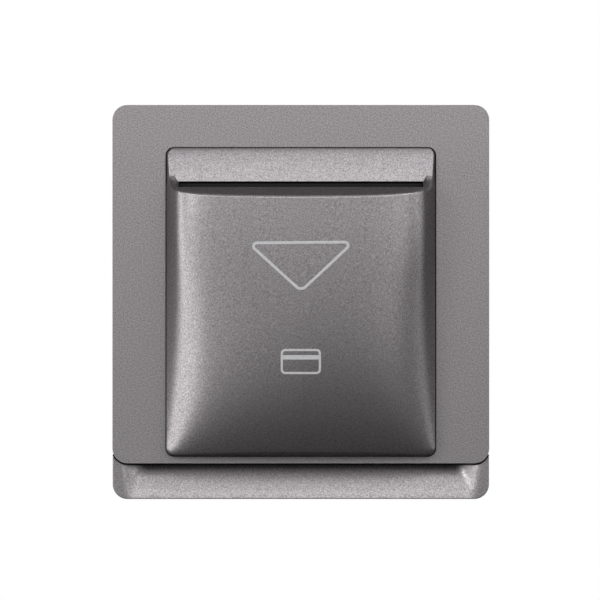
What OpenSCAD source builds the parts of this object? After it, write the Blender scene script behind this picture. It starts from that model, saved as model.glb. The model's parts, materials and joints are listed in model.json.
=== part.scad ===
// Hotel key card switch: a wall plate whose card pocket covers a sprung lever and a snap switch.
// Each piece is drawn as seen from the front: x to the right, y up and z out of the wall, which is
// the plane z = 0. facing() then turns it, so that +Z is up and the front looks along -Y.
// "out" in a name is a height over the wall or over a named face, and "rear" is towards the wall.

/* [Frame] */
// Width of the wall frame
frame_w = 86; // [84:0.5:96]
// Height of the wall frame
frame_h = 90; // [88:0.5:100]
// Corner radius of the frame and of the front plate
corner_r = 3.4; // [2:0.1:4]
// Thickness of the frame's flange on the wall
flange_t = 2.4; // [2:0.1:3]
// Height of the lower lip that the front plate leaves bare
lip_h = 8.2; // [7:0.1:10]
// How far the face of the lip stands out of the wall
lip_out = 8.8; // [8:0.1:10]
// Depth of the finger scoop under the face of the lip
scoop_depth = 3.6; // [3:0.1:4.2]
// Flat width left at each end of the finger scoop
scoop_end = 3.2; // [2:0.1:8]
// Thickness of the lip's walls round its hollow back
lip_wall = 1.6; // [1.2:0.1:2]
// Distance between the two wall box screws
box_pitch = 60.3; // [60:0.1:61]
// Width of the slotted holes for the wall box screws
box_slot_w = 4.2; // [3.6:0.1:4.6]
// Length of the slotted holes for the wall box screws
box_slot_l = 7; // [5:0.1:7.4]

/* [Front plate] */
// How far the face of the front plate stands out of the wall
plate_out = 10; // [9.5:0.1:12]
// Thickness of the front plate
plate_t = 2; // [1.6:0.1:2.4]
// Thickness of the skirt round the front plate
skirt_t = 1.5; // [1:0.1:2]
// Height of the plate's strip under the pocket
sill_h = 1.5; // [1:0.1:2]
// Width of the gap round the pocket
pocket_gap = 0.15; // [0.1:0.05:0.3]
// Radius of the pegs that plug the front plate on to the frame
peg_r = 1.8; // [1.4:0.1:2]
// Distance from the sides of the plate to the centres of its pegs
peg_inset = 4.8; // [4.6:0.1:5]
// Wall of the sockets that take the pegs
socket_wall = 1.1; // [0.8:0.1:1.2]

/* [Card pocket] */
// Width of the pocket
module_w = 61.5; // [61:0.5:64]
// Height of the pocket
module_h = 70.4; // [69:0.1:71.5]
// Corner radius of the pocket's outline
module_r = 1.8; // [1.2:0.1:2.4]
// How far the pocket's straight sides stand out of the plate
body_out = 2; // [1:0.1:3]
// How far the pocket's crown stands out of the plate at the card slot
crown_out = 13; // [12.5:0.1:15]
// How far the pocket's crown stands out of the plate at its foot
toe_out = 5; // [4.6:0.1:6]
// How much lower the crown lies at the pocket's sides
crown_sag = 1.3; // [1:0.1:1.8]
// Height of the brow over the card slot
brow_h = 7.65; // [6:0.05:9]
// How far the brow stands out of the plate at the card slot
brow_out = 2.6; // [2:0.1:3]
// Width of the card slot
slot_w = 55.6; // [55:0.1:56]
// Height of the card slot as seen from the front
slot_h = 1.5; // [1:0.05:2]
// Height of the sloping rim under the card slot
rim_h = 2.1; // [1.5:0.05:3]
// How far the rim stands out of the plate at the card slot
rim_out = 7.5; // [7:0.1:8]
// Thickness of the pocket's walls
wall_t = 1.8; // [1.4:0.1:2]
// Slant of the card against the wall, in degrees
card_tilt = 5.2; // [4.5:0.1:5.5]
// Thickness of the pocket's back
tray_t = 1.6; // [1.2:0.1:1.8]

/* [Mechanism] */
// Width and height of the rear housing
housing_w = 50; // [49:0.5:50.5]
// Depth of the rear housing behind the wall's face
housing_d = 25; // [25:0.5:30]
// Wall thickness of the rear housing
housing_wall = 1.6; // [1.2:0.1:1.8]
// Thickness of the mechanism plate
mech_t = 1.2; // [1:0.1:1.4]
// Radius of the lever's steel pin
pin_r = 1.25; // [1:0.05:1.5]
// Height of the lever's pin over the middle of the frame
pin_y = 6; // [5:0.1:7]
// Width of the lever
lever_w = 8.8; // [7:0.1:9.2]
// Thickness of the lever's arm
arm_t = 2; // [1.6:0.1:2.2]
// How far the lever's nose stands out of the pocket's back
nose_out = 3; // [2:0.1:3.2]
// Wire radius of the return spring
wire_r = 0.3; // [0.2:0.05:0.4]
// Turns of the return spring
spring_turns = 7; // [5:1:8]

/* [Switch and terminals] */
// Length of the switch case
case_l = 27.8; // [26:0.2:30]
// Height of the switch case
case_h = 15.9; // [14:0.1:15.9]
// Thickness of the switch case with its cover
case_w = 10.3; // [9.5:0.1:11]
// Wall thickness of the switch case
case_wall = 1; // [0.8:0.1:1.2]
// Radius of the switch plunger
plunger_r = 1.25; // [1:0.05:1.5]
// Thickness of the circuit board
board_t = 1.6; // [1:0.1:2]
// Distance between neighbouring terminals
terminal_pitch = 7.5; // [7:0.1:8]
// Radius of the wire entries
entry_r = 1.9; // [1.5:0.1:2.1]

/* [Fits] */
// Clearance of a pin or a peg in its bore
run_fit = 0.05; // [0.02:0.01:0.09]
// Clearance of a screw in its pilot hole
screw_fit = 0.02; // [0.01:0.01:0.05]
// Clearance between pieces that move past each other
free_fit = 0.3; // [0.2:0.05:0.4]

/* [Hidden] */
$fn = 48;
overlap = 0.5;

// Heights of the plate and the pocket, from the foot of the frame up
plate_bot = -frame_h / 2 + lip_h;
plate_top = frame_h / 2;
plate_h = plate_top - plate_bot;
module_bot = plate_bot + sill_h + pocket_gap;
module_top = module_bot + module_h;
module_y = (module_bot + module_top) / 2;
brow_y = module_top - brow_h;
rim_y = brow_y - slot_h;
edge_y = rim_y - rim_h;

// Levels of the stack, from the wall out
plate_rear = plate_out - plate_t;
ledge_t = 1.8;
ledge_rear = plate_rear - ledge_t;
ear_t = 1.6;
ear_rear = ledge_rear - ear_t;
rim_t = 1.4;
rim_front = flange_t + rim_t;
mech_front = rim_front + mech_t;
end_gap = 0.4;
tray_rear = mech_front + end_gap;
socket_end = 0.8;
peg_end = socket_end + end_gap;
socket_top = ledge_rear - free_fit;

// Pocket's back, which slants down to the foot so that the card leans out at the top
tray_top = brow_y - 2 * free_fit;
tray_bot = module_bot + wall_t + free_fit;
tray_side_gap = 1.15;
tray_hw = module_w / 2 - wall_t - tray_side_gap;
head_rise = 2;
function tray_out(y) = plate_out + brow_out - free_fit - (tray_top - y) * tan(card_tilt);

// Ears that hold the pocket to the plate
ear_reach = 2.4;
ear_x = module_w / 2 + ear_reach;
ear_y = 24;
ear_w = 5.2;
ear_h = 7;
boss_r = 1.7;
boss_fit = 0.1;
boss_gap = 0.2;
screw_r = 0.95;
head_r = 2.6;
head_t = 1.3;
pilot_skin = 1;
drive_t = 0.6;
function ear_places() = [for (x = [-1, 1], y = [-1, 1]) [x * ear_x, y * ear_y]];

// Pegs and their sockets in the corners of the plate
peg_xs = [-1, 1] * (frame_w / 2 - peg_inset);
peg_ys = [plate_bot + peg_inset, plate_top - peg_inset];
function peg_places() = [for (x = peg_xs, y = peg_ys) [x, y]];

// Rear housing, its rim on the frame and the four screws through the rim
housing_hw = housing_w / 2;
cavity_hw = housing_hw - housing_wall;
housing_r = 1.2;
rim_side = 1;
rim_end = 4;
rim_r = 1.5;
rim_hw = housing_hw + rim_side;
rim_hh = housing_hw + rim_end;
rim_screw_inset = 5;
rim_screw = [housing_hw - rim_screw_inset, housing_hw + rim_end / 2];
csk_r = 2.3;
csk_shank_r = 1.1;
csk_fit = 0.1;
csk_drive_l = 2.6;
housing_floor = -housing_d + housing_wall;
slot_wall = 1.2;
slot_x = max(box_pitch / 2, housing_hw + free_fit + slot_wall + box_slot_l / 2);
function rim_places() = [for (x = [-1, 1], y = [-1, 1]) [x * rim_screw[0], y * rim_screw[1]]];

// Circuit board on four posts
board_hw = cavity_hw - 2 * free_fit;
board_limit = -15.1;
block_room = 9.9;
board_front = min(board_limit, -housing_d + block_room);
board_rear = board_front - board_t;
post_r = 2.6;
post_inset = 1.3;
board_place = cavity_hw - post_r - post_inset;
board_hole_r = 1.1;
board_head_r = 2;
board_head_t = 1.3;
board_screw_l = 5;
function board_places() = [for (x = [-1, 1], y = [-1, 1]) [x, y] * board_place];

// Terminal block behind the board, at the foot of the housing
block_side = 1;
block_hw = 1.5 * terminal_pitch + block_side;
block_gap = 0.2;
block_bot = -cavity_hw + block_gap;
block_l = 10.6;
block_top = block_bot + block_l;
block_rear = -housing_d + end_gap;

// Switch case on the board, clear over the terminal block, with its plunger under the lever
case_front = board_front + case_h;
case_step = 1;
case_bot = block_top - case_step;
case_top = case_bot + case_l;
cover_t = 1;
case_hw = case_w / 2;
press_arm = 7;
plunger_y = pin_y - press_arm;
plunger_out = 2.2;
plunger_tip = case_front + plunger_out;
stem_r = 0.6;
collar_w = 0.65;
collar_r = plunger_r + collar_w;
collar_t = 0.7;
collar_gap = 0.1;
touch_gap = 0.12;

// Snap blade between its two fixed contacts
blade_inset = 3;
blade_pivot_y = case_bot + blade_inset;
blade_drop = 5.4;
blade_z = case_front - blade_drop;
blade_t = 0.4;
blade_w = 4;
blade_pin_r = 0.5;
blade_loop_r = 1;
blade_side = 0.15;
contact_inset = 6.8;
contact_y = case_top - contact_inset;
contact_r = 1.5;
contact_t = 0.8;
contact_travel = 2.1;
contact_gap = 0.1;
strip_t = 0.6;
strip_w = 5;
strip_fit = 0.1;
strip_gap = 0.4;
strip_step = 2;
pin_drop = 1.2;
fork_hh = 0.9;
rivet_r = 1;
pillar_wall = 0.7;
rivet_head_r = 1.7;
rivet_head_t = 0.4;
rivet_rise = 4;
rivet_z = board_front + rivet_rise;
rivet_step = 4;
rivet_ys = [blade_pivot_y + rivet_step, contact_y - rivet_step];

// Lever, from its pin down to the toe under the mechanism plate
hub_wall = 1.35;
hub_r = pin_r + hub_wall;
hub_step = 0.8;
hub_w = lever_w + hub_step;
pin_z = tray_out(pin_y) - tray_t - free_fit - hub_r;
cheek_t = 2.4;
cheek_gap = 1.4;
cheek_x = hub_w / 2 + cheek_gap;
cheek_h = 6.2;
cheek_wall = 0.8;
pin_proud = 0.5;
pin_l = 2 * (cheek_x + cheek_t + pin_proud);
arm_gap = 2 * free_fit;
nose_arm = 21;
nose_y = pin_y - nose_arm;
nose_step = 1.2;
nose_w = lever_w - nose_step;
nose_ramp = 7.5;
nose_foot = 3.5;
nose_round = 0.3;
nose_flat = 1.5;
nose_swing = 4;
arm_tail = 5;
arm_end = nose_y - arm_tail;
toe_gap = 0.5;
toe_end = -cavity_hw + toe_gap;
toe_t = 1.8;
toe_stem = 2;
press_r = 1;
press_gap = 0.15;
window_gap = 1.2;
lever_window_hw = lever_w / 2 + window_gap;
lever_window_bot = arm_end - free_fit;
function arm_front(y) = tray_out(y) - tray_t - arm_gap;
function arm_rear(y) = arm_front(y) - arm_t;

// Return spring beside the switch, from a post of the housing to a wing of the lever
spring_gap = 4;
spring_x = case_hw + spring_gap;
spring_arm = 15;
spring_y = pin_y - spring_arm;
spring_r = 1.9;
spring_seat = -6;
spring_post_r = 2.4;
spigot_r = 1.1;
spigot_l = 2;
wing_edge = 0.8;
wing_end = spring_x + spring_r + wing_edge;
wing_hh = spring_r + wing_edge;
spring_top = arm_rear(spring_y - wing_hh);

// Wire entries, cages and clamp screws in the terminal block
entry_drop = 3.3;
entry_z = board_rear - entry_drop;
entry_l = 3;
entry_flare = 0.9;
cage_w = 5.2;
cage_l = 5.4;
cage_h = 5.2;
cage_wall = 0.9;
cage_fit = 0.1;
cage_y = block_bot + entry_l + cage_l / 2 + cage_fit;
clamp_r = 1.4;
clamp_head_r = 2;
clamp_head_t = 1.2;
clamp_tip = 0.6;
terminal_xs = [for (i = [-1:1]) i * terminal_pitch];

// Shared shapes

module facing() rotate([90, 0, 0]) children();

// Plan outline with round corners
module rounded(w, h, r) {
  square([w - 2 * r, h], center = true);
  square([w, h - 2 * r], center = true);
  for (x = [-1, 1], y = [-1, 1]) translate([x * (w / 2 - r), y * (h / 2 - r)]) circle(r);
}

// A solid between two levels over a plan outline
module slab(rear, front) translate([0, 0, rear]) linear_extrude(front - rear) children();

// A side outline in y and z, drawn out along x
module across(x0, x1) translate([x0, 0, 0]) rotate([90, 0, 90]) linear_extrude(x1 - x0) children();

module box(low, high) translate(low) cube(high - low);

module rod_x(r, x0, x1, y, z) translate([x0, y, z]) rotate([0, 90, 0]) cylinder(r = r, h = x1 - x0);

module rod_y(r, y0, y1, x, z) translate([x, y0, z]) rotate([-90, 0, 0]) cylinder(r = r, h = y1 - y0);

module rod_z(r, z0, z1, place) translate([place[0], place[1], z0]) cylinder(r = r, h = z1 - z0);

// Slot with round ends along x
module slot_plan(l, w) {
  square([l - w, w], center = true);
  for (x = [-1, 1]) translate([x * (l - w) / 2, 0]) circle(w / 2);
}

// Screw with a flat round head, whose head rests on the level "seat" and whose shank runs to "tip"
module pan_screw(seat, tip, shank_r, top_r, top_t, slot_t) {
  way = tip > seat ? -1 : 1;
  head_end = seat + way * top_t;
  difference() {
    union() {
      slab(min(seat, head_end), max(seat, head_end)) circle(top_r);
      slab(min(seat, tip), max(seat, tip)) circle(shank_r);
    }
    slab(min(head_end, head_end - way * slot_t), max(head_end, head_end - way * slot_t))
      square([3 * top_r, slot_t], center = true);
  }
}

// Surface of the pocket

function mix(a, b, t) = a + (b - a) * t;
function blend(a, b, n) = pow(pow(a, -n) + pow(b, -n), -1 / n);

edge_out = 0.35;
side_draft = 0.2;
foot_side_draft = 0.88;
toe_draft = 0.27;
crown_power = 3.3;
foot_sag = 0.9;
sag_power = 2.45;
side_blend = 1.7;
toe_blend = 3;
brow_power = 1.15;
lip_t = 0.4;
inset_run = 4;

// Half width of the pocket's outline at a height, with its round corners
function corner_run(y) = max(0, abs(y - module_y) - (module_h / 2 - module_r));
function pocket_half(y) = module_w / 2 - module_r + sqrt(max(0, pow(module_r, 2) - pow(corner_run(y), 2)));

// Share of the way from the ridge over the rim down to the foot
function fall(y) = max(0, edge_y - y) / (edge_y - module_bot);
function crown(x, y) =
  crown_out - body_out - (crown_out - toe_out) * pow(fall(y), crown_power)
  - (crown_sag + foot_sag * fall(y)) * pow(abs(2 * x / module_w), sag_power);
function side_rise(x, y) =
  edge_out + max(0, pocket_half(y) - abs(x)) / mix(side_draft, foot_side_draft, fall(y));
function toe_rise(y) = edge_out + max(0, y - module_bot) / toe_draft;

// Straight sides, which start at the slot, and the bulge over them
function body(y) = body_out * min(1, max(0, brow_y - y) / slot_h);
function bulge(x, y) =
  body(y)
  + blend(blend(max(edge_out, crown(x, y)), side_rise(x, y), side_blend), toe_rise(y), toe_blend);

// The brow, the slot's step and the rim, which cut the bulge off at the top
function cut(y) =
  y >= brow_y ? mix(edge_out, brow_out, pow(max(0, module_top - y) / brow_h, brow_power))
  : y >= rim_y ? mix(rim_out, brow_out, (y - rim_y) / slot_h)
  : rim_out + (rim_y - y) * (crown_out - rim_out) / rim_h;
function pocket_rise(x, y) = min(bulge(x, y), cut(y));

// Rows of the pocket's grid from the foot to the top, and its columns as shares of the half width
slot_share = slot_w / module_w;
corner_steps = [0, 30, 60, 90];
bulge_rows = 13;
rim_rows = 4;
brow_rows = 3;
slot_cols = 10;
side_cols = 5;
side_crowd = 1.5;
low_rows = [for (a = corner_steps) module_bot + module_r * (1 - cos(a))];
mid_rows = [for (i = [1:bulge_rows]) mix(module_bot + module_r, edge_y, i / bulge_rows)];
rim_steps = [for (i = [1:rim_rows]) mix(edge_y, rim_y, i / rim_rows)];
brow_steps = [for (i = [0:brow_rows - 1]) mix(brow_y, module_top - module_r, i / brow_rows)];
top_rows = [for (i = [len(corner_steps) - 1:-1:0]) module_top - module_r * (1 - cos(corner_steps[i]))];
rows = concat(low_rows, mid_rows, rim_steps, brow_steps, top_rows);
slot_row = len(low_rows) + bulge_rows + rim_rows - 1;
side_steps = [for (i = [1:side_cols]) 1 - (1 - slot_share) * pow(1 - i / side_cols, side_crowd)];
cols = concat(
  [for (i = [side_cols - 1:-1:0]) -side_steps[i]],
  [for (i = [0:slot_cols]) mix(-slot_share, slot_share, i / slot_cols)],
  side_steps
);
nr = len(rows);
nc = len(cols);

// The same places on the inside of the wall
function inner_share(s, y) =
  let (half = pocket_half(y), k = min(slot_w / 2, slot_share * half, half - wall_t - wall_t / 3), a = abs(s))
  a <= slot_share ? s / slot_share * k
  : sign(s) * mix(k, half - wall_t, (a - slot_share) / (1 - slot_share));
inset_low = module_bot + inset_run;
inset_high = module_top - inset_run;
function inner_y(y) =
  y < inset_low ? mix(module_bot + wall_t, inset_low, (y - module_bot) / inset_run)
  : y > inset_high ? mix(module_top - wall_t, inset_high, (module_top - y) / inset_run)
  : y;
function inner_rise(x, y) =
  let (rise = pocket_rise(x, y))
  y < edge_y || y > rim_y ? rise - wall_t
  : abs(x) < slot_w / 2 + lip_t ? min(rise, rim_out) - lip_t
  : min(rise - wall_t, rim_out - lip_t);

// Grid of outer points, grid of inner points, and the ring of each at the rear
border = concat(
  [for (c = [0:nc - 1]) [0, c]],
  [for (r = [1:nr - 1]) [r, nc - 1]],
  [for (c = [nc - 2:-1:0]) [nr - 1, c]],
  [for (r = [nr - 2:-1:1]) [r, 0]]
);
nb = len(border);
slot_border = concat(
  [for (c = [side_cols:side_cols + slot_cols]) [slot_row, c]],
  [for (c = [side_cols + slot_cols:-1:side_cols]) [slot_row + 1, c]]
);
ns = len(slot_border);
function outer_point(r, c) =
  let (y = rows[r], x = cols[c] * pocket_half(y)) [x, y, plate_out + pocket_rise(x, y)];
function inner_point(r, c) =
  let (y = rows[r], x = cols[c] * pocket_half(y))
  [inner_share(cols[c], y), inner_y(y), plate_out + inner_rise(x, y)];
function at_rear(p) = [p[0], p[1], ledge_rear];
function in_slot(r, c) = r == slot_row && c >= side_cols && c < side_cols + slot_cols;
shell_points = concat(
  [for (r = [0:nr - 1], c = [0:nc - 1]) outer_point(r, c)],
  [for (r = [0:nr - 1], c = [0:nc - 1]) inner_point(r, c)],
  [for (b = border) at_rear(outer_point(b[0], b[1]))],
  [for (b = border) at_rear(inner_point(b[0], b[1]))]
);
inner_from = nr * nc;
rear_from = 2 * nr * nc;
function id(b) = b[0] * nc + b[1];
function quad(a, b, c, d) = [[a, b, c], [a, c, d]];
function joined(lists) = [for (l = lists, f = l) f];
cells = [
  for (r = [0:nr - 2], c = [0:nc - 2])
    if (!in_slot(r, c)) [[r, c], [r + 1, c], [r + 1, c + 1], [r, c + 1]]
];
outer_faces = joined([for (q = cells) quad(id(q[0]), id(q[1]), id(q[2]), id(q[3]))]);
function inner_id(b) = inner_from + id(b);
inner_faces = joined([
  for (q = cells) quad(inner_id(q[3]), inner_id(q[2]), inner_id(q[1]), inner_id(q[0]))
]);
border_faces = joined([
  for (k = [0:nb - 1])
    let (
      n = (k + 1) % nb, a = id(border[k]), b = id(border[n]),
      ra = rear_from + k, rb = rear_from + n, ia = rear_from + nb + k, ib = rear_from + nb + n
    )
    concat(quad(a, b, rb, ra), quad(inner_from + b, inner_from + a, ia, ib), quad(ra, rb, ib, ia))
]);
slot_faces = joined([
  for (k = [0:ns - 1])
    let (a = id(slot_border[k]), b = id(slot_border[(k + 1) % ns]))
    quad(b, a, inner_from + a, inner_from + b)
]);

module pocket_shell()
  polyhedron(shell_points, concat(outer_faces, inner_faces, border_faces, slot_faces), convexity = 6);

// Wall frame

// Level of the finger scoop, which slopes from the lip's lower edge in under the plate
scoop_edge = 0.4;
slice_t = 0.02;
scoop_foot = -frame_h / 2 + scoop_edge;
scoop_head = plate_bot + overlap;
scoop_deep = lip_out - scoop_depth;
function scoop_level(y) = mix(scoop_deep, lip_out, (scoop_head - y) / (scoop_head - scoop_foot));

// One slice across the scoop, from the height where its level is reached up to the plate
module scoop_slice(x, level) {
  y = mix(scoop_head, scoop_foot, (level - scoop_deep) / scoop_depth);
  across(x - slice_t / 2, x + slice_t / 2)
    polygon([[y, level], [scoop_head, level], [scoop_head, lip_out + overlap],
             [scoop_foot, lip_out + overlap], [scoop_foot, lip_out]]);
}

// The scoop's room, with ends that slant in towards its deep side
module scoop() {
  full = frame_w / 2 - scoop_end;
  hull() for (side = [-1, 1]) {
    scoop_slice(side * full, lip_out);
    scoop_slice(side * (full - scoop_depth / 2), scoop_deep);
  }
}

// Hollow cells behind the lip
cell_n = 3;
module lip_cells() {
  run = frame_w - 2 * (scoop_end + scoop_depth / 2);
  cell_w = run / cell_n - lip_wall;
  foot = -frame_h / 2 + lip_wall;
  head = plate_bot - free_fit - lip_wall;
  for (i = [0:cell_n - 1]) {
    mid = (i - (cell_n - 1) / 2) * run / cell_n;
    across(mid - cell_w / 2, mid + cell_w / 2)
      polygon([[foot, -overlap], [head, -overlap], [head, scoop_level(head) - lip_wall],
               [foot, scoop_level(foot) - lip_wall]]);
  }
}

// The plate's outline on the frame, grown by a margin
module plate_plan(margin) translate([0, (plate_top + plate_bot) / 2])
  rounded(frame_w + 2 * margin, plate_h + 2 * margin, corner_r + margin);

// The lip fills what the plate's round lower corners leave of the frame's outline
module lip() difference() {
  intersection() {
    slab(0, lip_out) rounded(frame_w, frame_h, corner_r);
    box([-frame_w, -frame_h, 0], [frame_w, plate_bot + corner_r, lip_out]);
  }
  slab(flange_t, lip_out + overlap) plate_plan(free_fit);
}

module base_frame() facing() color("dimgray") difference() {
  union() {
    slab(0, flange_t) rounded(frame_w, frame_h, corner_r);
    lip();
    for (p = peg_places()) rod_z(peg_r + run_fit + socket_wall, flange_t - overlap, socket_top, p);
  }
  scoop();
  lip_cells();
  slab(-overlap, flange_t + overlap)
    rounded(housing_w + 2 * free_fit, housing_w + 2 * free_fit, housing_r + free_fit);
  for (x = [-1, 1])
    slab(-overlap, flange_t + overlap) translate([x * slot_x, 0]) slot_plan(box_slot_l, box_slot_w);
  for (p = peg_places()) rod_z(peg_r + run_fit, socket_end, socket_top + overlap, p);
  for (p = rim_places()) rod_z(csk_shank_r + screw_fit, socket_end - end_gap, flange_t + overlap, p);
}

// Front assembly

module front_plate() facing() color("gray") {
  room_y = (plate_bot + sill_h + plate_top - skirt_t) / 2;
  room_r = max(1, corner_r - skirt_t);
  finger_h = 2;
  difference() {
    union() {
      difference() {
        slab(flange_t, plate_out) plate_plan(0);
        slab(flange_t - overlap, plate_rear) translate([0, room_y])
          rounded(frame_w - 2 * skirt_t, plate_h - skirt_t - sill_h, room_r);
      }
      for (p = peg_places()) rod_z(peg_r, peg_end, plate_rear + overlap, p);
      for (p = ear_places()) rod_z(boss_r, ear_rear + boss_gap, plate_rear + overlap, p);
    }
    slab(flange_t - overlap, plate_out + overlap) translate([0, module_y])
      rounded(module_w + 2 * pocket_gap, module_h + 2 * pocket_gap, module_r + pocket_gap);
    box([-frame_w / 2 + scoop_end, plate_bot - overlap, flange_t - overlap],
        [frame_w / 2 - scoop_end, plate_bot + sill_h + overlap, scoop_deep + finger_h]);
    for (p = ear_places()) rod_z(screw_r + screw_fit, ear_rear, plate_out - pilot_skin, p);
  }
}

module pocket_cover() facing() color("gray") {
  strip_in = module_w / 2 - wall_t / 2;
  strip_out = ear_x + ear_w / 2;
  ledge_w = 3;
  ledge_top = module_top + ledge_w;
  difference() {
    union() {
      pocket_shell();
      for (x = [-1, 1])
        box([min(x * strip_in, x * strip_out), module_bot + inset_run, ledge_rear],
            [max(x * strip_in, x * strip_out), ledge_top, plate_rear]);
      box([-strip_in, module_top - wall_t / 2, ledge_rear], [strip_in, ledge_top, plate_rear]);
    }
    for (p = ear_places()) rod_z(boss_r + boss_fit, ledge_rear - overlap, plate_rear + overlap, p);
  }
}

module pocket_base() facing() color("#222222") {
  window_hw = nose_w / 2 + window_gap;
  head_y = brow_y + head_rise;
  head_out = plate_out + cut(head_y) - wall_t - free_fit;
  // Upper edge behind the brow, which closes the view past the card
  across(-tray_hw, tray_hw)
    polygon([[tray_top - tray_t, head_out - tray_t], [head_y, head_out - tray_t],
             [head_y, head_out], [tray_top - tray_t, head_out]]);
  difference() {
    across(-tray_hw, tray_hw)
      polygon([[tray_bot, tray_rear], [tray_top, tray_rear], [tray_top, tray_out(tray_top)],
               [tray_bot, tray_out(tray_bot)]]);
    across(-tray_hw + tray_t, tray_hw - tray_t)
      polygon([[tray_bot + tray_t, tray_rear - overlap], [tray_top - tray_t, tray_rear - overlap],
               [tray_top - tray_t, tray_out(tray_top - tray_t) - tray_t],
               [tray_bot + tray_t, max(tray_rear - overlap, tray_out(tray_bot + tray_t) - tray_t)]]);
    box([-window_hw, nose_y - nose_foot - nose_swing, 0],
        [window_hw, nose_y + nose_ramp + overlap, plate_out + overlap]);
  }
  for (p = ear_places()) difference() {
    box([min(sign(p[0]) * (tray_hw - overlap), p[0] - ear_w / 2), p[1] - ear_h / 2, ear_rear],
        [max(sign(p[0]) * (tray_hw - overlap), p[0] + ear_w / 2), p[1] + ear_h / 2, ledge_rear]);
    rod_z(boss_r + boss_fit, ear_rear - overlap, ledge_rear + overlap, p);
  }
}

module plate_screws() facing() color("silver")
  for (p = ear_places()) translate(p)
    pan_screw(ear_rear, plate_out - pilot_skin - end_gap, screw_r, head_r, head_t, drive_t);

// Mechanism

module rear_housing() facing() color("ivory") difference() {
  union() {
    difference() {
      union() {
        slab(-housing_d, flange_t + overlap) rounded(housing_w, housing_w, housing_r);
        slab(flange_t, rim_front) rounded(2 * rim_hw, 2 * rim_hh, rim_r);
      }
      slab(housing_floor, rim_front + overlap) square(2 * cavity_hw, center = true);
    }
    for (p = board_places()) rod_z(post_r, housing_floor - overlap, board_rear, p);
    rod_z(spring_post_r, housing_floor - overlap, spring_seat, [spring_x, spring_y]);
    rod_z(spigot_r, spring_seat - overlap, spring_seat + spigot_l, [spring_x, spring_y]);
  }
  for (p = board_places()) rod_z(screw_r + screw_fit, board_rear - board_screw_l, board_rear + overlap, p);
  for (p = rim_places()) rod_z(csk_shank_r + 2 * csk_fit, flange_t - overlap, rim_front + overlap, p);
  block_low = [-block_hw - free_fit, -housing_hw - overlap, -housing_d - overlap];
  box(block_low, [block_hw + free_fit, block_top + free_fit, housing_floor + overlap]);
  box(block_low, [block_hw + free_fit, -cavity_hw + overlap, entry_z + entry_r + entry_flare]);
}

module mechanism_plate() facing() color("#303030") {
  difference() {
    union() {
      slab(rim_front, mech_front) rounded(2 * rim_hw, 2 * rim_hh, rim_r);
      for (x = [-1, 1])
        box([min(x * cheek_x, x * (cheek_x + cheek_t)), pin_y - cheek_h / 2, rim_front],
            [max(x * cheek_x, x * (cheek_x + cheek_t)), pin_y + cheek_h / 2, pin_z + pin_r + cheek_wall]);
    }
    box([-lever_window_hw, lever_window_bot, rim_front - overlap],
        [lever_window_hw, pin_y + hub_r + window_gap, mech_front + overlap]);
    box([0, spring_y - wing_hh - window_gap, rim_front - overlap],
        [wing_end + window_gap, spring_y + wing_hh + window_gap, mech_front + overlap]);
    rod_x(pin_r + screw_fit, -pin_l, pin_l, pin_y, pin_z);
    for (p = rim_places()) translate([p[0], p[1], rim_front])
      cylinder(r1 = csk_shank_r + csk_fit, r2 = csk_r + csk_fit, h = mech_t);
  }
}

module housing_screws() facing() color("silver")
  for (p = rim_places()) translate([p[0], p[1], 0]) difference() {
    union() {
      translate([0, 0, rim_front]) cylinder(r1 = csk_shank_r, r2 = csk_r, h = mech_t);
      slab(socket_end, rim_front + mech_t / 2) circle(csk_shank_r);
    }
    for (turn = [0, 90]) slab(mech_front - drive_t, mech_front + overlap)
      rotate(turn) square([csk_drive_l, drive_t], center = true);
  }

module lever_pin() facing() color("lightsteelblue") rod_x(pin_r, -pin_l / 2, pin_l / 2, pin_y, pin_z);

// Side outlines of the lever: its arm, its nose with the ramp that the card rides on, and its toe
module arm_outline() {
  top = pin_y - hub_r / 2;
  polygon([[pin_y, pin_z - hub_r / 2], [pin_y, pin_z + hub_r / 2], [top, arm_front(top)],
           [arm_end, arm_front(arm_end)], [arm_end, arm_rear(arm_end)], [top, arm_rear(top)]]);
}

module nose_outline() {
  tip = tray_out(nose_y) + nose_out;
  head = nose_y + nose_ramp;
  foot = nose_y - nose_foot;
  polygon([[head, arm_front(head) - overlap], [nose_y + nose_round, tip - nose_round], [nose_y, tip],
           [nose_y - nose_flat, tip - nose_round], [foot, arm_front(foot) - overlap]]);
}

module toe_outline() {
  stem = arm_end + toe_stem;
  front = rim_front - free_fit;
  polygon([[arm_end, arm_front(arm_end)], [stem, arm_front(stem)], [stem, front - toe_t],
           [toe_end, front - toe_t], [toe_end, front], [arm_end, front]]);
}

module wing_outline() {
  low = spring_y - wing_hh;
  high = spring_y + wing_hh;
  polygon([[low, spring_top], [high, spring_top], [high, arm_front(high)], [low, arm_front(low)]]);
}

module card_lever() facing() color("white") {
  press_z = plunger_tip + press_gap + press_r;
  difference() {
    union() {
      rod_x(hub_r, -hub_w / 2, hub_w / 2, pin_y, pin_z);
      across(-lever_w / 2, lever_w / 2) arm_outline();
      across(-lever_w / 2, lever_w / 2) toe_outline();
      across(-nose_w / 2, nose_w / 2) nose_outline();
      across(lever_w / 2 - overlap, wing_end) wing_outline();
      box([-nose_w / 2, plunger_y - press_r, press_z],
          [nose_w / 2, plunger_y + press_r, arm_rear(plunger_y) + overlap]);
      rod_x(press_r, -nose_w / 2, nose_w / 2, plunger_y, press_z);
      rod_z(spigot_r, spring_top - spigot_l, spring_top + overlap, [spring_x, spring_y]);
    }
    rod_x(pin_r + run_fit, -hub_w, hub_w, pin_y, pin_z);
  }
}

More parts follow.
